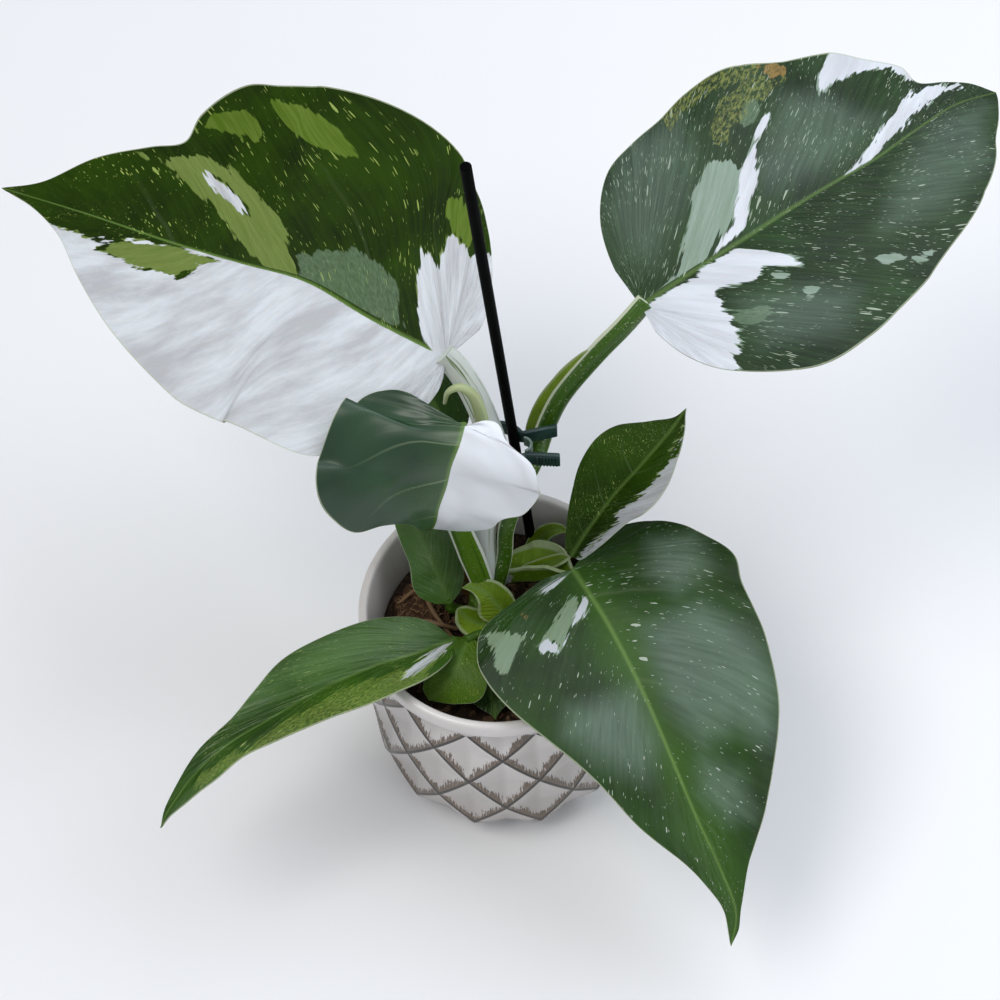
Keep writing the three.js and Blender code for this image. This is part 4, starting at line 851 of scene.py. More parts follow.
    # Yellowed and rusty parts are freckled
    freckles = add(tree, "MapRange", {"Value": freckle, 1: 0.44, 2: 0.6, 3: 0, 4: 0.75})
    freckles = add(tree, "Math", {0: freckles, 1: masks["yellowed"]}, operation="MULTIPLY")
    colour = add(tree, "Mix", {0: freckles, 6: colour, 7: linear(freckled)}, data_type="RGBA")
    rust = add(tree, "MapRange", {"Value": freckle, 1: 0.36, 2: 0.55, 3: 0.3, 4: 0.9})
    rust = add(tree, "Math", {0: rust, 1: masks["rusty"]}, operation="MULTIPLY")
    colour = add(tree, "Mix", {0: rust, 6: colour, 7: linear("8F743E")}, data_type="RGBA")
    # Midrib: a light green line that tapers to the tip
    width = add(tree, "MapRange", {"Value": parts.outputs["X"], 1: 0, 2: 2.2, 3: 0.014, 4: 0.003})
    ratio = add(tree, "Math", {0: out, 1: width}, operation="DIVIDE")
    rib = add(tree, "MapRange", {"Value": ratio, 1: 1.5, 2: 0.2, 3: 0, 4: ribbed})
    colour = add(tree, "Mix", {0: rib, 6: colour, 7: linear("6F8F45")}, data_type="RGBA")
    # White parts: painted shade in soft grey waves that follow the rumpled relief, and fine lines of
    # grey-green
    wave_at = add(tree, "Mapping", {"Vector": veins, "Scale": (ripples, 1.5, 1)})
    wave = add(tree, "TexNoise", {"Vector": wave_at, "Scale": 1, "Detail": crisp, "Roughness": 0.62})
    grey = add(tree, "MapRange", {"Value": wave, 1: 0.38, 2: 0.62, 3: 0, 4: shaded})
    clean = add(tree, "Mix", {0: grey, 6: linear(white), 7: linear("A6A6A8")}, data_type="RGBA")
    lined = add(tree, "MapRange", {"Value": streak, 1: 0.55, 2: 0.75, 3: 0, 4: 0.4 * shaded})
    clean = add(tree, "Mix", {0: lined, 6: clean, 7: linear("B9BDB0")}, data_type="RGBA")
    colour = add(tree, "Mix", {0: masks["white"], 6: colour, 7: clean}, data_type="RGBA")
    # A thin light line on the margin, and a paler, duller underside
    edge = add(tree, "MapRange", {"Value": reach.outputs["Y"], 1: rim, 2: rim + 0.3 * (1 - rim), 3: 0,
                                  4: 0.55})
    colour = add(tree, "Mix", {0: edge, 6: colour, 7: linear("B4BD9C")}, data_type="RGBA")
    colour = add(tree, "Mix", {0: under, 6: colour, 7: linear("7F9668")}, data_type="RGBA")
    # The sheet is rumpled along its veins, with a finer grain over that
    swell = add(tree, "Bump", {"Height": wave, "Distance": 0.004 * rumple, "Strength": 0.6})
    bump = add(tree, "Bump", {"Height": streak, "Distance": 0.0025 * grain, "Strength": 0.35,
                              "Normal": swell})
    connect(tree, shader, colour, bump)
    return finish


def stalk_finish(name, skin, stripe, margin, stripes=0.5, margins=0.0, reach_mm=1000, specks=0.0,
                 matte=0.38):
    """A leaf stalk: smooth satin skin, lengthwise stripes, light margins, and specks where asked."""
    finish, tree, shader = new_finish(name, Roughness=matte, Subsurface_Weight=0.1, Subsurface_Scale=0.002)
    veins = add(tree, "UVMap", uv_map="veins")
    stripe_at = add(tree, "Mapping", {"Vector": veins, "Scale": (1.1, 16, 1)})
    lines = add(tree, "TexNoise", {"Vector": stripe_at, "Scale": 1, "Detail": 3, "Roughness": 0.6})
    line = add(tree, "MapRange", {"Value": lines, 1: 0.62 - stripes * 0.3, 2: 0.72 - stripes * 0.2},
               interpolation_type="SMOOTHSTEP")
    colour = add(tree, "Mix", {0: line, 6: linear(skin), 7: linear(stripe)}, data_type="RGBA")
    reach = add(tree, "SeparateXYZ", {0: veins})
    # Light margins run along both edges of a flattened stalk, which are at none and half of the way round
    around = add(tree, "Math", {0: reach.outputs["Y"], 1: 2}, operation="MULTIPLY")
    around = add(tree, "Math", {0: around, 1: 1.0}, operation="PINGPONG")
    near = add(tree, "Math", {0: around, 1: 0.5}, operation="SUBTRACT")
    near = add(tree, "Math", {0: near}, operation="ABSOLUTE")
    light = add(tree, "MapRange", {"Value": near, 1: 0.5 - margins * 0.35, 2: 0.5 - margins * 0.3, 3: 0,
                                   4: 1 if margins else 0})
    along_stalk = add(tree, "MapRange", {"Value": reach.outputs["X"], 1: reach_mm / 100 - 0.2,
                                         2: reach_mm / 100, 3: 1, 4: 0})
    light = add(tree, "Math", {0: light, 1: along_stalk}, operation="MULTIPLY")
    colour = add(tree, "Mix", {0: light, 6: colour, 7: linear(margin)}, data_type="RGBA")
    speck_at = add(tree, "TexCoord")
    speck = add(tree, "TexNoise", {"Vector": speck_at.outputs["Object"], "Scale": 900, "Detail": 1})
    dots = add(tree, "MapRange", {"Value": speck, 1: 0.66, 2: 0.7, 3: 0, 4: specks})
    colour = add(tree, "Mix", {0: dots, 6: colour, 7: linear(margin)}, data_type="RGBA")
    bump = add(tree, "Bump", {"Height": lines, "Distance": 0.0004, "Strength": 0.3})
    connect(tree, shader, colour, bump)
    return finish


def pot_finish():
    """Glazed earthenware: warm satin white, taupe brushed above each ridge, and a dark line on its crest."""
    finish, tree, shader = new_finish("glazed earthenware, brushed ridges", Roughness=0.32,
                                      Specular_IOR_Level=0.5, Coat_Weight=0.25, Coat_Roughness=0.18)
    lattice = add(tree, "UVMap", uv_map="lattice")
    spot = add(tree, "TexCoord").outputs["Object"]
    cell = add(tree, "SeparateXYZ", {0: lattice})
    across = add(tree, "Math", {0: cell.outputs["X"], 1: 2 * DIAMONDS}, operation="MULTIPLY")
    down = add(tree, "Math", {0: cell.outputs["Y"], 1: len(LATTICE)}, operation="MULTIPLY")
    rising = add(tree, "Math", {0: across, 1: down}, operation="ADD")
    falling = add(tree, "Math", {0: down, 1: across}, operation="SUBTRACT")
    # Bristle marks: fine teeth on the upper edge of each brush stroke, about 1 mm apart
    teeth_at = add(tree, "Mapping", {"Vector": lattice, "Scale": (520, 16, 1)})
    teeth = add(tree, "TexNoise", {"Vector": teeth_at, "Scale": 1, "Detail": 3, "Roughness": 0.7})
    sweep = add(tree, "TexNoise", {"Vector": spot, "Scale": 120, "Detail": 2})
    tooth = add(tree, "MapRange", {"Value": teeth, 1: 0.3, 2: 0.7, 3: -0.08, 4: 0.08})
    drift = add(tree, "MapRange", {"Value": sweep, 1: 0.3, 2: 0.7, 3: 0.09, 4: 0.19})
    width = add(tree, "Math", {0: tooth, 1: drift}, operation="ADD")
    strokes = []
    lines = []
    climbs = []
    for direction in (rising, falling):
        half = add(tree, "Math", {0: direction, 1: -0.5}, operation="MULTIPLY")
        above = add(tree, "Math", {0: half}, operation="FRACT")
        climbs.append(above)
        strokes.append(add(tree, "Math", {0: above, 1: width}, operation="LESS_THAN"))
        lines.append(add(tree, "Math", {0: above, 1: 0.05}, operation="LESS_THAN"))
    stroke = add(tree, "Math", {0: strokes[0], 1: strokes[1]}, operation="MAXIMUM")
    line = add(tree, "Math", {0: lines[0], 1: lines[1]}, operation="MAXIMUM")
    on_facets = add(tree, "MapRange", {"Value": cell.outputs["Y"], 1: -0.002, 2: 0.004})
    stroke = add(tree, "Math", {0: stroke, 1: on_facets}, operation="MULTIPLY")
    line = add(tree, "Math", {0: line, 1: on_facets}, operation="MULTIPLY")
    glaze = add(tree, "Mix", {0: sweep, 6: linear("DAD6D3"), 7: linear("D0C9C5")}, data_type="RGBA")
    # Painted shade: the left half of each sunk diamond is darker, and so is the pot towards its foot, where it
    # turns under
    tilt = add(tree, "Math", {0: climbs[1], 1: climbs[0]}, operation="SUBTRACT")
    painted_facet_shade = add(tree, "MapRange", {"Value": tilt, 1: -0.1, 2: 0.1, 3: 0.3, 4: 0})
    painted_facet_shade = add(tree, "Math", {0: painted_facet_shade, 1: on_facets}, operation="MULTIPLY")
    glaze = add(tree, "Mix", {0: painted_facet_shade, 6: glaze, 7: linear("A09892")}, data_type="RGBA")
    # Painted shade, darker towards the foot
    low = add(tree, "MapRange", {"Value": cell.outputs["Y"], 1: 0.15, 2: 1, 3: 0, 4: 0.75})
    glaze = add(tree, "Mix", {0: low, 6: glaze, 7: linear("9A928C")}, data_type="RGBA")
    worn = add(tree, "MapRange", {"Value": teeth, 1: 0.3, 2: 0.62, 3: 0.35, 4: 0.95})
    taupe = add(tree, "Mix", {0: worn, 6: linear("8E7E6E"), 7: linear("5A4A3B")}, data_type="RGBA")
    colour = add(tree, "Mix", {0: stroke, 6: glaze, 7: taupe}, data_type="RGBA")
    colour = add(tree, "Mix", {0: line, 6: colour, 7: linear("241C14")}, data_type="RGBA")
    bump = add(tree, "Bump", {"Height": teeth, "Distance": 0.0002, "Strength": 0.15})
    connect(tree, shader, colour, bump)
    return finish


def crumb_finish(name, dark, mid, light, grain=700, rough=0.95):
    """Bark, fibre or soil: matte crumbs of three browns."""
    finish, tree, shader = new_finish(name, Roughness=rough, Specular_IOR_Level=0.2)
    spot = add(tree, "TexCoord").outputs["Object"]
    crumbs = add(tree, "TexVoronoi", {"Vector": spot, "Scale": grain * 0.6})
    mottle = add(tree, "TexNoise", {"Vector": spot, "Scale": grain, "Detail": 4, "Roughness": 0.7})
    tone = add(tree, "Mix", {0: crumbs.outputs["Color"], 6: linear(dark), 7: linear(mid)}, data_type="RGBA")
    glint = add(tree, "MapRange", {"Value": mottle, 1: 0.52, 2: 0.72})
    tone = add(tree, "Mix", {0: glint, 6: tone, 7: linear(light)}, data_type="RGBA")
    bump = add(tree, "Bump", {"Height": mottle, "Distance": 0.001, "Strength": 0.7})
    connect(tree, shader, tone, bump)
    return finish


def plastic_finish(name, colour, worn, roughness, grain, gloss=0.5, bump_height=0.00004):
    """Moulded plastic: an even colour a little lighter where it is rubbed, with the mould's fine grain."""
    finish, tree, shader = new_finish(name, Roughness=roughness, Specular_IOR_Level=gloss)
    spot = add(tree, "TexCoord").outputs["Object"]
    rub = add(tree, "TexNoise", {"Vector": spot, "Scale": 90, "Detail": 3})
    rubbed = add(tree, "MapRange", {"Value": rub, 1: 0.5, 2: 0.75, 3: 0, 4: 0.6})
    tone = add(tree, "Mix", {0: rubbed, 6: linear(colour), 7: linear(worn)}, data_type="RGBA")
    fine = add(tree, "TexNoise", {"Vector": spot, "Scale": grain, "Detail": 2})
    bump = add(tree, "Bump", {"Height": fine, "Distance": bump_height, "Strength": 0.4})
    connect(tree, shader, tone, bump)
    return finish


# The plant
# Underside: paler and duller than any upper face, with few flecks
UNDER = blade_finish("philodendron blade, underside", "2C4A1C", "3E5E28", "5C7A3E", pale="8FA57C",
                     flecked=0.1, matte=0.55, gloss=0.2, under=0.35)
# Half white: olive green with lime patches beside a cool white, rumpled, with painted shade in soft grey waves
PIED_BLADE = blade_finish("philodendron blade, half white, olive green", "132300", "223A00", "41600A",
                          white="D0D5D8", pale="768746", fleck="9DB05A", flecked=0.6, dusted=0.4, matte=0.45,
                          gloss=0.08, laterals=0.04, rumple=0.8)
# Dark: deep green with a broad soft sheen, in part painted sheen, a light glow by the midrib and few flecks
DARK_BLADE = blade_finish("philodendron blade, dark with a blue sheen", "122803", "224408", "4A7424",
                          pale="84967E", shaded=0.25, fleck="C3CEBE", flecked=0.25, dusted=0.25, matte=0.46,
                          gloss=0.3, glow=0.4, laterals=0.05, ripples=12, crisp=2, rumple=0.9, grain=0.12,
                          painted_sheen_share=0.38)
# Veined: dark green dusted with pale dashes, lined along its fine veins, with crisp white parts and painted
# sheen
VEINED_BLADE = blade_finish("philodendron blade, dark and finely veined", "10210A", "1D3711", "466838",
                            pale="93A596", white="D6DBE0", fleck="AEBBA6", flecked=0.8, dusted=0.6, grain=0.3,
                            matte=0.45, gloss=0.25, laterals=0.0, ribbed=0.4, shaded=0.4, painted_sheen_share=0.22)
# Bluish: smooth and glossy, without flecks, in broad low folds, beside a clean white
BLUE_BLADE = blade_finish("philodendron blade, bluish green", "1E3823", "2B492E", "4A6B3C", pale="8FA393",
                          white="E4E8EC", flecked=0.0, dusted=0.0, grain=0.03, matte=0.34, gloss=0.5,
                          glow=0.4, rumple=1.8, ripples=7, crisp=0.5, shaded=0.25, laterals=0.25,
                          freckled="1C4409")
# Deep green of a young blade, dusted with small yellow-green flecks
DEEP_BLADE = blade_finish("philodendron blade, young, deep green", "142800", "2C4A06", "55731F",
                          fleck="A9BD6A", flecked=0.5, dusted=0.6, matte=0.42, gloss=0.12)
# Smooth mid green that shines evenly and hardly shows its veins
MIDDLE_BLADE = blade_finish("philodendron blade, young, smooth and broad", "1F3F06", "345E0C", "5F8426",
                            fleck="A9BD6A", flecked=0.0, dusted=0.2, grain=0.1, matte=0.3, gloss=0.5,
                            ribbed=0.15, glow=0.2)
# Yellow-green and finely dusted, the lightest of the green blades
LIME_BLADE = blade_finish("philodendron blade, youngest, yellow-green", "345604", "4A6E08", "7E9A2A",
                          fleck="BCCB62", flecked=0.4, dusted=1.0, grain=0.15, matte=0.38, gloss=0.3,
                          ribbed=0.3)
# Bright green and glossy, freckled with yellow on one half, with patches of painted sheen in a lighter green
BRIGHT_BLADE = blade_finish("philodendron blade, young and bright", "1C3A04", "32580C", "5C8222",
                            pale="A9BD6A", white="CBCFD0", fleck="B4C070", flecked=0.2, dusted=0.7, matte=0.3,
                            gloss=0.4, rumple=0.7, crisp=2, ripples=14, shaded=0.25, painted_sheen_share=0.4,
                            painted_sheen="6C9254", freckled="93A84A")

# Each blade's columns and rows for each half, its finish, and its slot
BLADES = {
    "broad_left": (150, 40, PIED_BLADE, "leaf_pied"), "broad_right": (150, 40, VEINED_BLADE, "leaf_dark"),
    "drooping": (110, 34, BLUE_BLADE, "leaf_pied"), "upright_right": (90, 24, DEEP_BLADE, "leaf_pied"),
    "low_right": (150, 40, DARK_BLADE, "leaf_dark"), "low_left": (100, 24, BRIGHT_BLADE, "leaf_bright"),
    "small_middle": (60, 16, MIDDLE_BLADE, "leaf_bright"), "small_front": (60, 16, LIME_BLADE, "leaf_bright"),
    "shaded_front": (60, 16, DARK_BLADE, "leaf_dark"), "small_back": (60, 16, DARK_BLADE, "leaf_dark"),
}
for name, (columns, rows, finish, slot) in BLADES.items():
    piece = blade(f"blade_{name}", LEAVES[name], columns, rows, (finish, UNDER))
    finish_piece(piece, "plant", f"leaf_{name}")

# White stalk: satin off-white with a few dull green stripes
WHITE_STALK = stalk_finish("leaf stalk, white with green stripes", "C6CCC4", "5E7440", "DDE0DA", stripes=0.3)
# Green stalk: satin green between two light margins, lightly specked
GREEN_STALK = stalk_finish("leaf stalk, green with light margins", "3B5F0A", "2A4D03", "C9D1B4", margins=0.5,
                           specks=0.4)
# Thin stalks by the foot: plain mid green, lightly specked
FOOT_STALK = stalk_finish("leaf stalk, plain green", "3F6112", "2F4F08", "A9B878", specks=0.3)
# Strap: bright green, with broad white margins on its lower part only
STRAP_STALK = stalk_finish("leaf stalk, strap with white margins", "4E730F", "35560A", "D5DACB", margins=0.6,
                           reach_mm=90, specks=0.2)
STALK_FINISHES = {"broad_left": WHITE_STALK, "broad_right": GREEN_STALK, "drooping": STRAP_STALK}
for name, part in STALKS.items():
    piece = tube(f"petiole_{name}", part, around=28, steps=70, finish=STALK_FINISHES.get(name, FOOT_STALK))
    finish_piece(piece, "plant", f"stalk_{name}")

# Young sheath: bright yellow-green inside a broad light margin
SHEATH = blade_finish("young sheath, yellow-green with light margins", "527206", "789614", "A9B83C",
                      pale="B4BE7C", fleck="B4C070", flecked=0.1, dusted=1.0, matte=0.42, gloss=0.3, rim=0.86)
# Winged stalk: mid green clouded with yellow-green, inside a broad light margin
WINGED = blade_finish("winged stalk, dark outside and bright in the channel", "456806", "6F9212", "A2B23A",
                      pale="A9B878", fleck="B4C070", dusted=0.4, matte=0.38, gloss=0.35, rim=0.8)
# Dried sheath: dull brown paper, rough along its veins
DRY = blade_finish("dried sheath, papery brown", "5A3718", "7A5028", "9A7040", fleck="9A7040", grain=0.6,
                   matte=0.7, gloss=0.15)
SHEATH_FINISHES = {"low_right_stalk": (WINGED, "stalk_green"), "dried_sheath": (DRY, "leaf_dry")}
for name, part in SHEATHS.items():
    finish, slot = SHEATH_FINISHES.get(name, (SHEATH, "leaf_bright"))
    piece = blade(f"sheet_{name}", part, columns=60, rows=14, finishes=(finish,), thick=part["thick"])
    finish_piece(piece, "plant", name)

# Rolled new leaf: pale cream-green with soft green stripes
SPEAR_SKIN = stalk_finish("rolled new leaf, cream and green", "A9B484", "7F9450", "D5DAC4", stripes=0.4)
spear = tube("rolled_new_leaf", SPEAR, around=24, steps=90, finish=SPEAR_SKIN)
finish_piece(spear, "plant", "new_leaf_spear")


def crown_rings(t, angle):
    """How far the crown swells, in millimetres, in rings up its length and knobs round it."""
    return 0.4 * np.sin(40 * t) + 0.3 * np.sin(5 * angle + 9 * t)


# Crown: knotty dull green, striped and specked
CROWN_SKIN = stalk_finish("crown, ringed green stem", "4E6E1C", "35540C", "9DAE68", stripes=0.6, specks=0.6)
crown = tube("ringed_crown", CROWN, around=40, steps=60, finish=CROWN_SKIN, rough=crown_rings)
finish_piece(crown, "plant", "crown")


# The pot: one sheet over the outside, the rim and the hollow, its ridges on a slanted lattice
def pot():
    columns, band_rows, neck_rows = 480, 14, 6
    neck_level, rim_level = -0.05, -0.2             # levels above the lattice, where the paint ends
    bands = len(LATTICE)
    outside = [(0, BASE_RADIUS)] + list(reversed(LATTICE))
    # Each row is (height, radius, level down the lattice, how deep its facets are)
    profile = []
    for band, ((low, r0), (high, r1)) in enumerate(zip(outside, outside[1:])):
        for k in range(band_rows):
            share = k / band_rows
            profile.append((low + (high - low) * share, r0 + (r1 - r0) * share, bands - band - share,
                            share if low == 0 else 1))
    (top, top_radius), (neck_radius, neck) = LATTICE[0], NECK[0]
    profile.append((top, top_radius, 0, 1))
    for k in range(1, neck_rows + 1):
        share = k / neck_rows
        profile.append((top + (neck - top) * share, top_radius + (neck_radius - top_radius) * share,
                        neck_level * share, 1 - share))
    for radius, height in [NECK[1], *RIM, *INNER_WALL]:
        profile.append((height, radius, rim_level, 0))
    piece, turn, row = new_grid("faceted_pot", columns, len(profile) - 1)
    line = np.round(row * (len(profile) - 1)).astype(int)
    height, radius, level, deep = np.array(profile)[line].T
    across = turn * 2 * DIAMONDS
    rising, falling = (across + level) / 2, (across - level) / 2
    off_rise = np.abs(rising - np.round(rising)) * 2
    off_fall = np.abs(falling - np.round(falling)) * 2
    dish = np.minimum(off_rise, off_fall)
    dish = np.sqrt(dish ** 2 + RIDGE_SOFT ** 2) - RIDGE_SOFT
    dish = dish * (1 + DISH_BOW - DISH_BOW * dish) / (1 - RIDGE_SOFT)
    sunk = radius - FACET_DEPTH * deep * dish
    angle = math.radians(FIRST_NODE) + 2 * math.pi * turn
    set_points(piece, np.stack([sunk * np.cos(angle), sunk * np.sin(angle), height], -1))
    add_map(piece, "lattice", turn, level / bands)
    weld(piece, CLOSE, outward=True)
    piece.data.materials.append(pot_finish())
    finish_piece(piece, "plant", "pot", angle=50)


pot()


# Potting mix: a crumbly top with bark chips on it
def lump(x, y):
    """The slow rise and fall of the mix, in millimetres."""
    return 1.3 * np.sin(x * 0.21 + 1) * np.cos(y * 0.17) + 0.8 * np.sin(x * 0.47 - y * 0.39)


def soil():
    columns, rows = 120, 60
    piece, turn, row = new_grid("potting_mix", columns, rows)
    inner = np.linspace(1, 0, rows + 1 - len(MIX_WALL))
    top = np.stack([SOIL_RADIUS * inner[1:], np.full(len(inner) - 1, SOIL_TOP)], -1)
    profile = np.vstack([np.array(MIX_WALL), top])
    line = np.minimum(np.round(row * rows).astype(int), len(profile) - 1)
    radius, height = profile[line].T
    angle = 2 * math.pi * turn
    x, y = radius * np.cos(angle), radius * np.sin(angle)
    crumbs = np.array([noise.fractal(Vector((px * 0.25, py * 0.25, 3)), 1, 2, 5) for px, py in zip(x, y)])
    height = height + (lump(x, y) + 1.2 * crumbs) * (height > SOIL_TOP - 0.5)
    set_points(piece, np.stack([x, y, height], -1))
    weld(piece, CLOSE, outward=True)
    return piece


# Potting mix: matte, nearly black, with brown bits. Bark: rough mid brown. Clump: coarse tan on dark brown
MIX = crumb_finish("potting mix, dark peat and bark", "1E1610", "33261B", "5A4632", grain=500)
BARK = crumb_finish("bark chips, rough brown", "3A2A1E", "5B4431", "8A6E52", grain=350)
FIBRE = crumb_finish("coir and bark clump", "2A1D14", "4A3525", "8B6C4B", grain=420)
ground = soil()
ground.data.materials.append(MIX)
chips = []
for k in range(CHIPS["count"]):
    reach, turn = CHIPS["reach"] * math.sqrt(random.random()), random.uniform(0, 2 * math.pi)
    x, y = reach * math.cos(turn), reach * math.sin(turn)
    size = random.uniform(CHIPS["least"], CHIPS["most"])
    bpy.ops.object.select_all(action="DESELECT")
    bpy.ops.mesh.primitive_cube_add(size=1)
    chip = start_piece(f"chip_{k}")
    bpy.ops.object.mode_set(mode="EDIT")
    bpy.ops.mesh.bevel(offset=CHIPS["rounding"], segments=1)
    bpy.ops.object.mode_set(mode="OBJECT")
    place = (Matrix.Translation(Vector((x, y, SOIL_TOP + float(lump(x, y)) + CHIPS["above"])) * MM)
             @ Matrix.Rotation(random.uniform(0, 6.28), 4, "Z")
             @ Matrix.Rotation(random.uniform(-CHIPS["tilt"], CHIPS["tilt"]), 4, "X")
             @ Matrix.Diagonal((*[size * side * MM for side in CHIPS["sides"]], 1)))
    uneven = CHIPS["uneven"]
    for vertex in chip.data.vertices:
        vertex.co = place @ (vertex.co + Vector([random.uniform(-uneven, uneven) for _ in range(3)]))
    chip.data.materials.append(BARK)
    chips.append(chip)
finish_piece(join([ground, *chips]), "plant", "potting_soil", angle=40)


def root_clump():
    bpy.ops.object.select_all(action="DESELECT")
    bpy.ops.mesh.primitive_ico_sphere_add(subdivisions=6, radius=1)
    piece = start_piece("root_clump")
    middle, half = Vector(ROOT_BALL["middle"]), ROOT_BALL["half"]
    for vertex in piece.data.vertices:
        p = vertex.co.normalized()
        rough = (1 + 0.09 * math.sin(7 * p.x + 2) * math.sin(6 * p.y) + 0.05 * math.sin(11 * p.z + 5 * p.x)
                 + 0.05 * noise.fractal(p * 7, 1, 2, 5))
        vertex.co = (Vector([p[axis] * half[axis] * rough for axis in range(3)]) + middle) * MM
    piece.data.materials.append(FIBRE)
    return piece


# Root: dry tan with dark lengthwise stripes
ROOT_SKIN = stalk_finish("root, tan and woody", "7E6243", "5A432C", "A98A63", stripes=0.5, matte=0.75)
clump = [root_clump()]
for route in ROOTS:
    root = {"route": route, "wide": ROOT_HALF, "deep": ROOT_HALF}
    clump.append(tube("root", root, around=12, steps=40, finish=ROOT_SKIN))
for k in range(FIBRES["count"]):
    turn, tilt = random.uniform(0, 2 * math.pi), random.uniform(*FIBRES["tilt"])
    way = (math.cos(turn) * math.cos(tilt), math.sin(turn) * math.cos(tilt), math.sin(tilt))
    start = [ROOT_BALL["middle"][axis] + ROOT_BALL["half"][axis] * 0.98 * way[axis] for axis in range(3)]
    aside = FIBRES["reach"]
    drift = [random.uniform(-aside, aside), random.uniform(-aside, aside), random.uniform(*FIBRES["rise"])]
    arch = (0, 0, FIBRES["arch"])
    bend = [start[axis] + drift[axis] * 0.5 + arch[axis] for axis in range(3)]
    end = [start[axis] + drift[axis] for axis in range(3)]
    fibre = {"route": [start, bend, end], "wide": FIBRES["half"], "deep": FIBRES["half"]}
    clump.append(tube("fibre", fibre, around=6, steps=8, finish=ROOT_SKIN))
finish_piece(join(clump), "plant", "root_ball", angle=50)


# The stake and its clip
def rod():
    start, end = Vector(STAKE_FOOT), Vector(STAKE_TOP)
    bpy.ops.object.select_all(action="DESELECT")
    bpy.ops.mesh.primitive_cylinder_add(vertices=48, radius=STAKE_RADIUS * MM,
                                        depth=(end - start).length * MM,
                                        location=(start + end) / 2 * MM,
                                        rotation=(end - start).to_track_quat("Z", "Y").to_euler())
    piece = start_piece("smooth_stake")
    edge = piece.modifiers.new("rounded ends", "BEVEL")
    edge.width = STAKE_ROUNDING * MM
    edge.segments = 4
    apply_modifiers(piece)
    # Coated rod: an even black that hardly shines
    coat = plastic_finish("coated steel rod, satin black", "030303", "080808", 0.5, 1500, gloss=0.03)
    piece.data.materials.append(coat)
    finish_piece(piece, "plant", "stake", angle=40)


rod()


def plate(name, outline, low, tall, finish, bevel=0.5):
    """A flat outline extruded upwards, with rounded edges."""
    bpy.ops.object.select_all(action="DESELECT")
    bpy.ops.mesh.primitive_circle_add(vertices=len(outline), radius=1, fill_type="NGON")
    piece = start_piece(name)
    for vertex, (x, y) in zip(piece.data.vertices, outline):
        vertex.co = Vector((x, y, low)) * MM
    bpy.ops.object.mode_set(mode="EDIT")
    bpy.ops.mesh.select_all(action="SELECT")
    bpy.ops.mesh.extrude_region_move(TRANSFORM_OT_translate={"value": (0, 0, tall * MM)})
    bpy.ops.mesh.select_all(action="SELECT")
    bpy.ops.mesh.normals_make_consistent(inside=False)
    bpy.ops.object.mode_set(mode="OBJECT")
    edge = piece.modifiers.new("rounded edges", "BEVEL")
    edge.width = bevel * MM
    edge.segments = 3
    edge.limit_method = "ANGLE"
    edge.angle_limit = math.radians(50)
    apply_modifiers(piece)
    piece.data.materials.append(finish)
    return piece


def clip_outline(side):
    """Half of the clip's ring and its lever, on the far side (+1) or the near side (-1)."""
    px, py = CLIP_PIVOT
    jx, jy = JAW_CENTRE
    tip = 180 - JAW_SLIT

    def on_ring(radius, share):
        angle = math.radians(JAW_HEEL + (tip - JAW_HEEL) * share)
        return jx + radius * math.cos(angle), jy - py + radius * math.sin(angle)

    arc_steps, lever_steps = 28, 6
    shares = [i / arc_steps for i in range(arc_steps + 1)]
    corners = [on_ring(JAW_INSIDE + JAW_WALL, 1 - share) for share in shares]
    for k in range(lever_steps // 2, lever_steps):
        share = k / lever_steps
        corners.append((px + LEVER["length"] * k / lever_steps, LEVER["root"] + LEVER["wall"]
                        + (LEVER["spread"] - LEVER["root"]) * share ** LEVER["rise"]))
    corners += [(px + LEVER["length"], LEVER["spread"] + LEVER["wall"]),
                (px + LEVER["length"], LEVER["spread"]), (px + LEVER["heel"], LEVER["root"])]
    corners += [on_ring(JAW_INSIDE, share) for share in shares]
    return [(x, py + side * y) for x, y in corners]


# Clip: semi-gloss dark bluish green, a little lighter where it is rubbed
CLIP_PLASTIC = plastic_finish("moulded plastic, dark bluish green", "12302C", "2C4A45", 0.33, 1200)
for side, node, body in ((1, "clip_far_half", "clip_jaw"), (-1, "clip_near_half", "plant")):
    half = [plate(node.replace("clip", "grip"), clip_outline(side), CLIP_LOW, CLIP_TALL, CLIP_PLASTIC)]
    for k in range(GRIP["ridges"] if side < 0 else 0):
        x = CLIP_PIVOT[0] + GRIP["first"] + k * GRIP["apart"]
        share = (x - CLIP_PIVOT[0]) / LEVER["length"]
        y = CLIP_PIVOT[1] + side * (LEVER["root"] + LEVER["wall"] + (LEVER["spread"] - LEVER["root"]) * share)
        bpy.ops.object.select_all(action="DESELECT")
        bpy.ops.mesh.primitive_cylinder_add(vertices=16, radius=GRIP["radius"] * MM,
                                            depth=(CLIP_TALL - 2 * GRIP["inset"]) * MM,
                                            location=(x * MM, y * MM, (CLIP_LOW + CLIP_TALL / 2) * MM))
        ridge = start_piece("grip_ridge")
        ridge.data.materials.append(CLIP_PLASTIC)
        half.append(ridge)
    finish_piece(join(half), body, node, angle=40)


def pivot_arc(radius, start, end, steps=24):
    """Corners round the clip's hinge, from one angle to the other."""
    angles = [start + (end - start) * k / steps for k in range(steps + 1)]
    return [(CLIP_PIVOT[0] + radius * math.cos(angle), CLIP_PIVOT[1] + radius * math.sin(angle))
            for angle in angles]


reach = math.radians(SPRING["reach"])
band = pivot_arc(SPRING["outside"], -reach, reach) + pivot_arc(SPRING["inside"], reach, -reach)
# Band: paler grey-green plastic, rubbed lighter in places
BAND = plastic_finish("sprung band, pale grey-green", "66786F", "8C9A94", 0.4, 1500)
spring = plate("sprung_band", band, CLIP_LOW + SPRING["inset"], CLIP_TALL - 2 * SPRING["inset"], BAND,
               bevel=0.25)
finish_piece(spring, "plant", "clip_spring", angle=40)

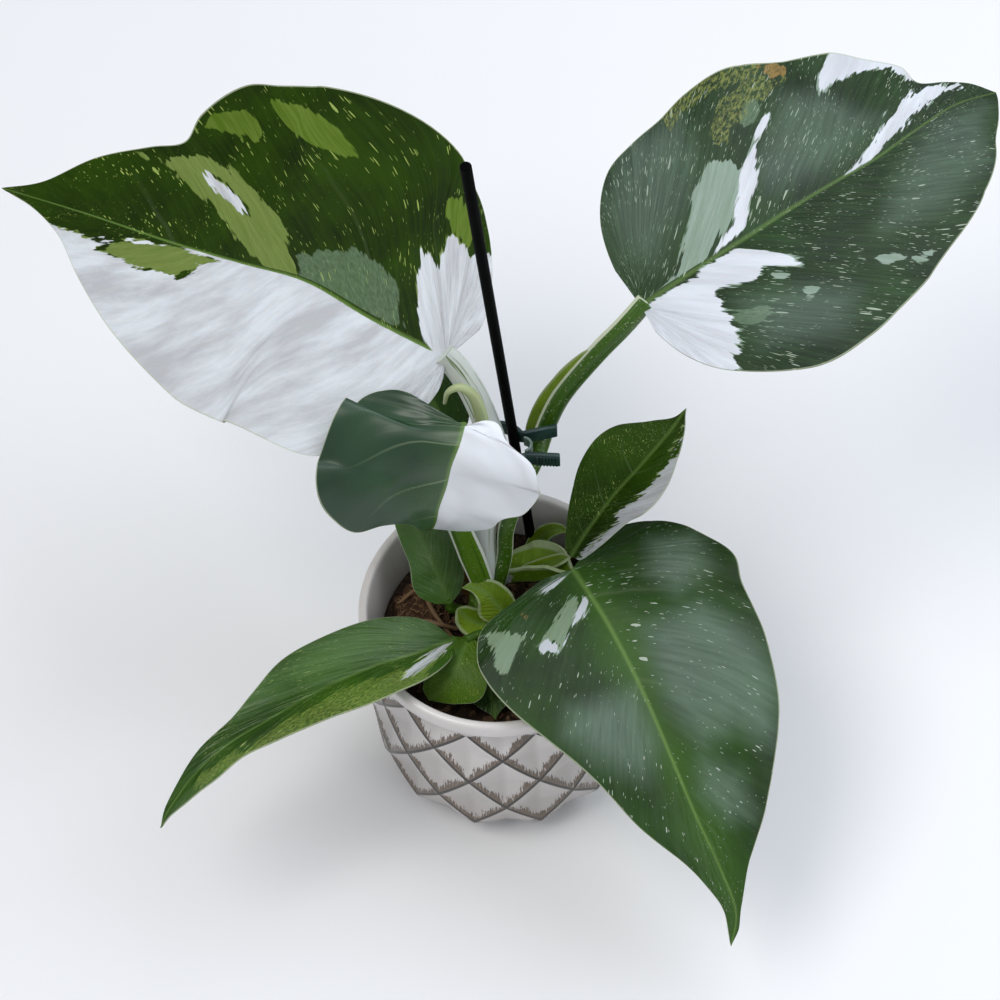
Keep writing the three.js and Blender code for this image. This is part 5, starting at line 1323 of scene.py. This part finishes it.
# The room: a pale plain floor, soft light, and a camera that looks on as the photograph does
bpy.ops.object.select_all(action="DESELECT")
bpy.ops.mesh.primitive_plane_add(size=6, location=(0, 0, 0))
floor = start_piece("floor")
# Paper: matte white, so the floor shows nothing but soft shadow
paper, tree, shader = new_finish("studio paper, matte white", Roughness=0.9)
shader.inputs["Base Color"].default_value = linear("F4F4F4")
floor.data.materials.append(paper)

scene = bpy.context.scene
scene.world = bpy.data.worlds.new("soft room")
scene.world.use_nodes = True
sky = scene.world.node_tree.nodes["Background"]
sky.inputs["Color"].default_value = linear("F3F6FF")
sky.inputs["Strength"].default_value = 0.45


def add_light(name, place, aim, size, watts, tint):
    """A round soft lamp: where it hangs and what it faces, in metres, its width, its power and its tint."""
    light = bpy.data.lights.new(name, "AREA")
    light.shape = "DISK"
    light.size = size
    light.energy = watts
    light.color = linear(tint)[:3]
    lamp = bpy.data.objects.new(name, light)
    lamp.location = place
    lamp.rotation_euler = (Vector(aim) - Vector(place)).to_track_quat("-Z", "Y").to_euler()
    scene.collection.objects.link(lamp)


add_light("key", (-0.7, -0.3, 1.8), (0, 0, 0.15), 0.9, 12, "FFFDF8")
add_light("fill", (1.2, -0.9, 1.1), (0, 0, 0.15), 0.9, 5, "F2F6FF")
add_light("window", (0.75, 0.45, 1.45), (0.05, 0, 0.15), 1.5, 14, "EEF4FF")

lift, roll = math.radians(CAMERA["elevation"]), math.radians(CAMERA["roll"])
ahead = Vector((0, math.cos(lift), -math.sin(lift)))
level_right = Vector((1, 0, 0))
level_up = level_right.cross(ahead)
right = math.cos(roll) * level_right + math.sin(roll) * level_up
up = -math.sin(roll) * level_right + math.cos(roll) * level_up
camera = bpy.data.objects.new("camera", bpy.data.cameras.new("camera"))
camera.data.lens = CAMERA["lens"]
camera.data.sensor_width = CAMERA["sensor"]
camera.data.shift_x, camera.data.shift_y = CAMERA["shift"]
camera.data.clip_end = CAMERA["sees"]
turned = Matrix((right, up, -ahead)).transposed().to_4x4()
stand = Vector((0, 0, POT_HEIGHT)) - ahead * CAMERA["distance"]
camera.matrix_world = Matrix.Translation(stand * MM) @ turned
scene.collection.objects.link(camera)
scene.camera = camera
scene.view_settings.view_transform = "Standard"
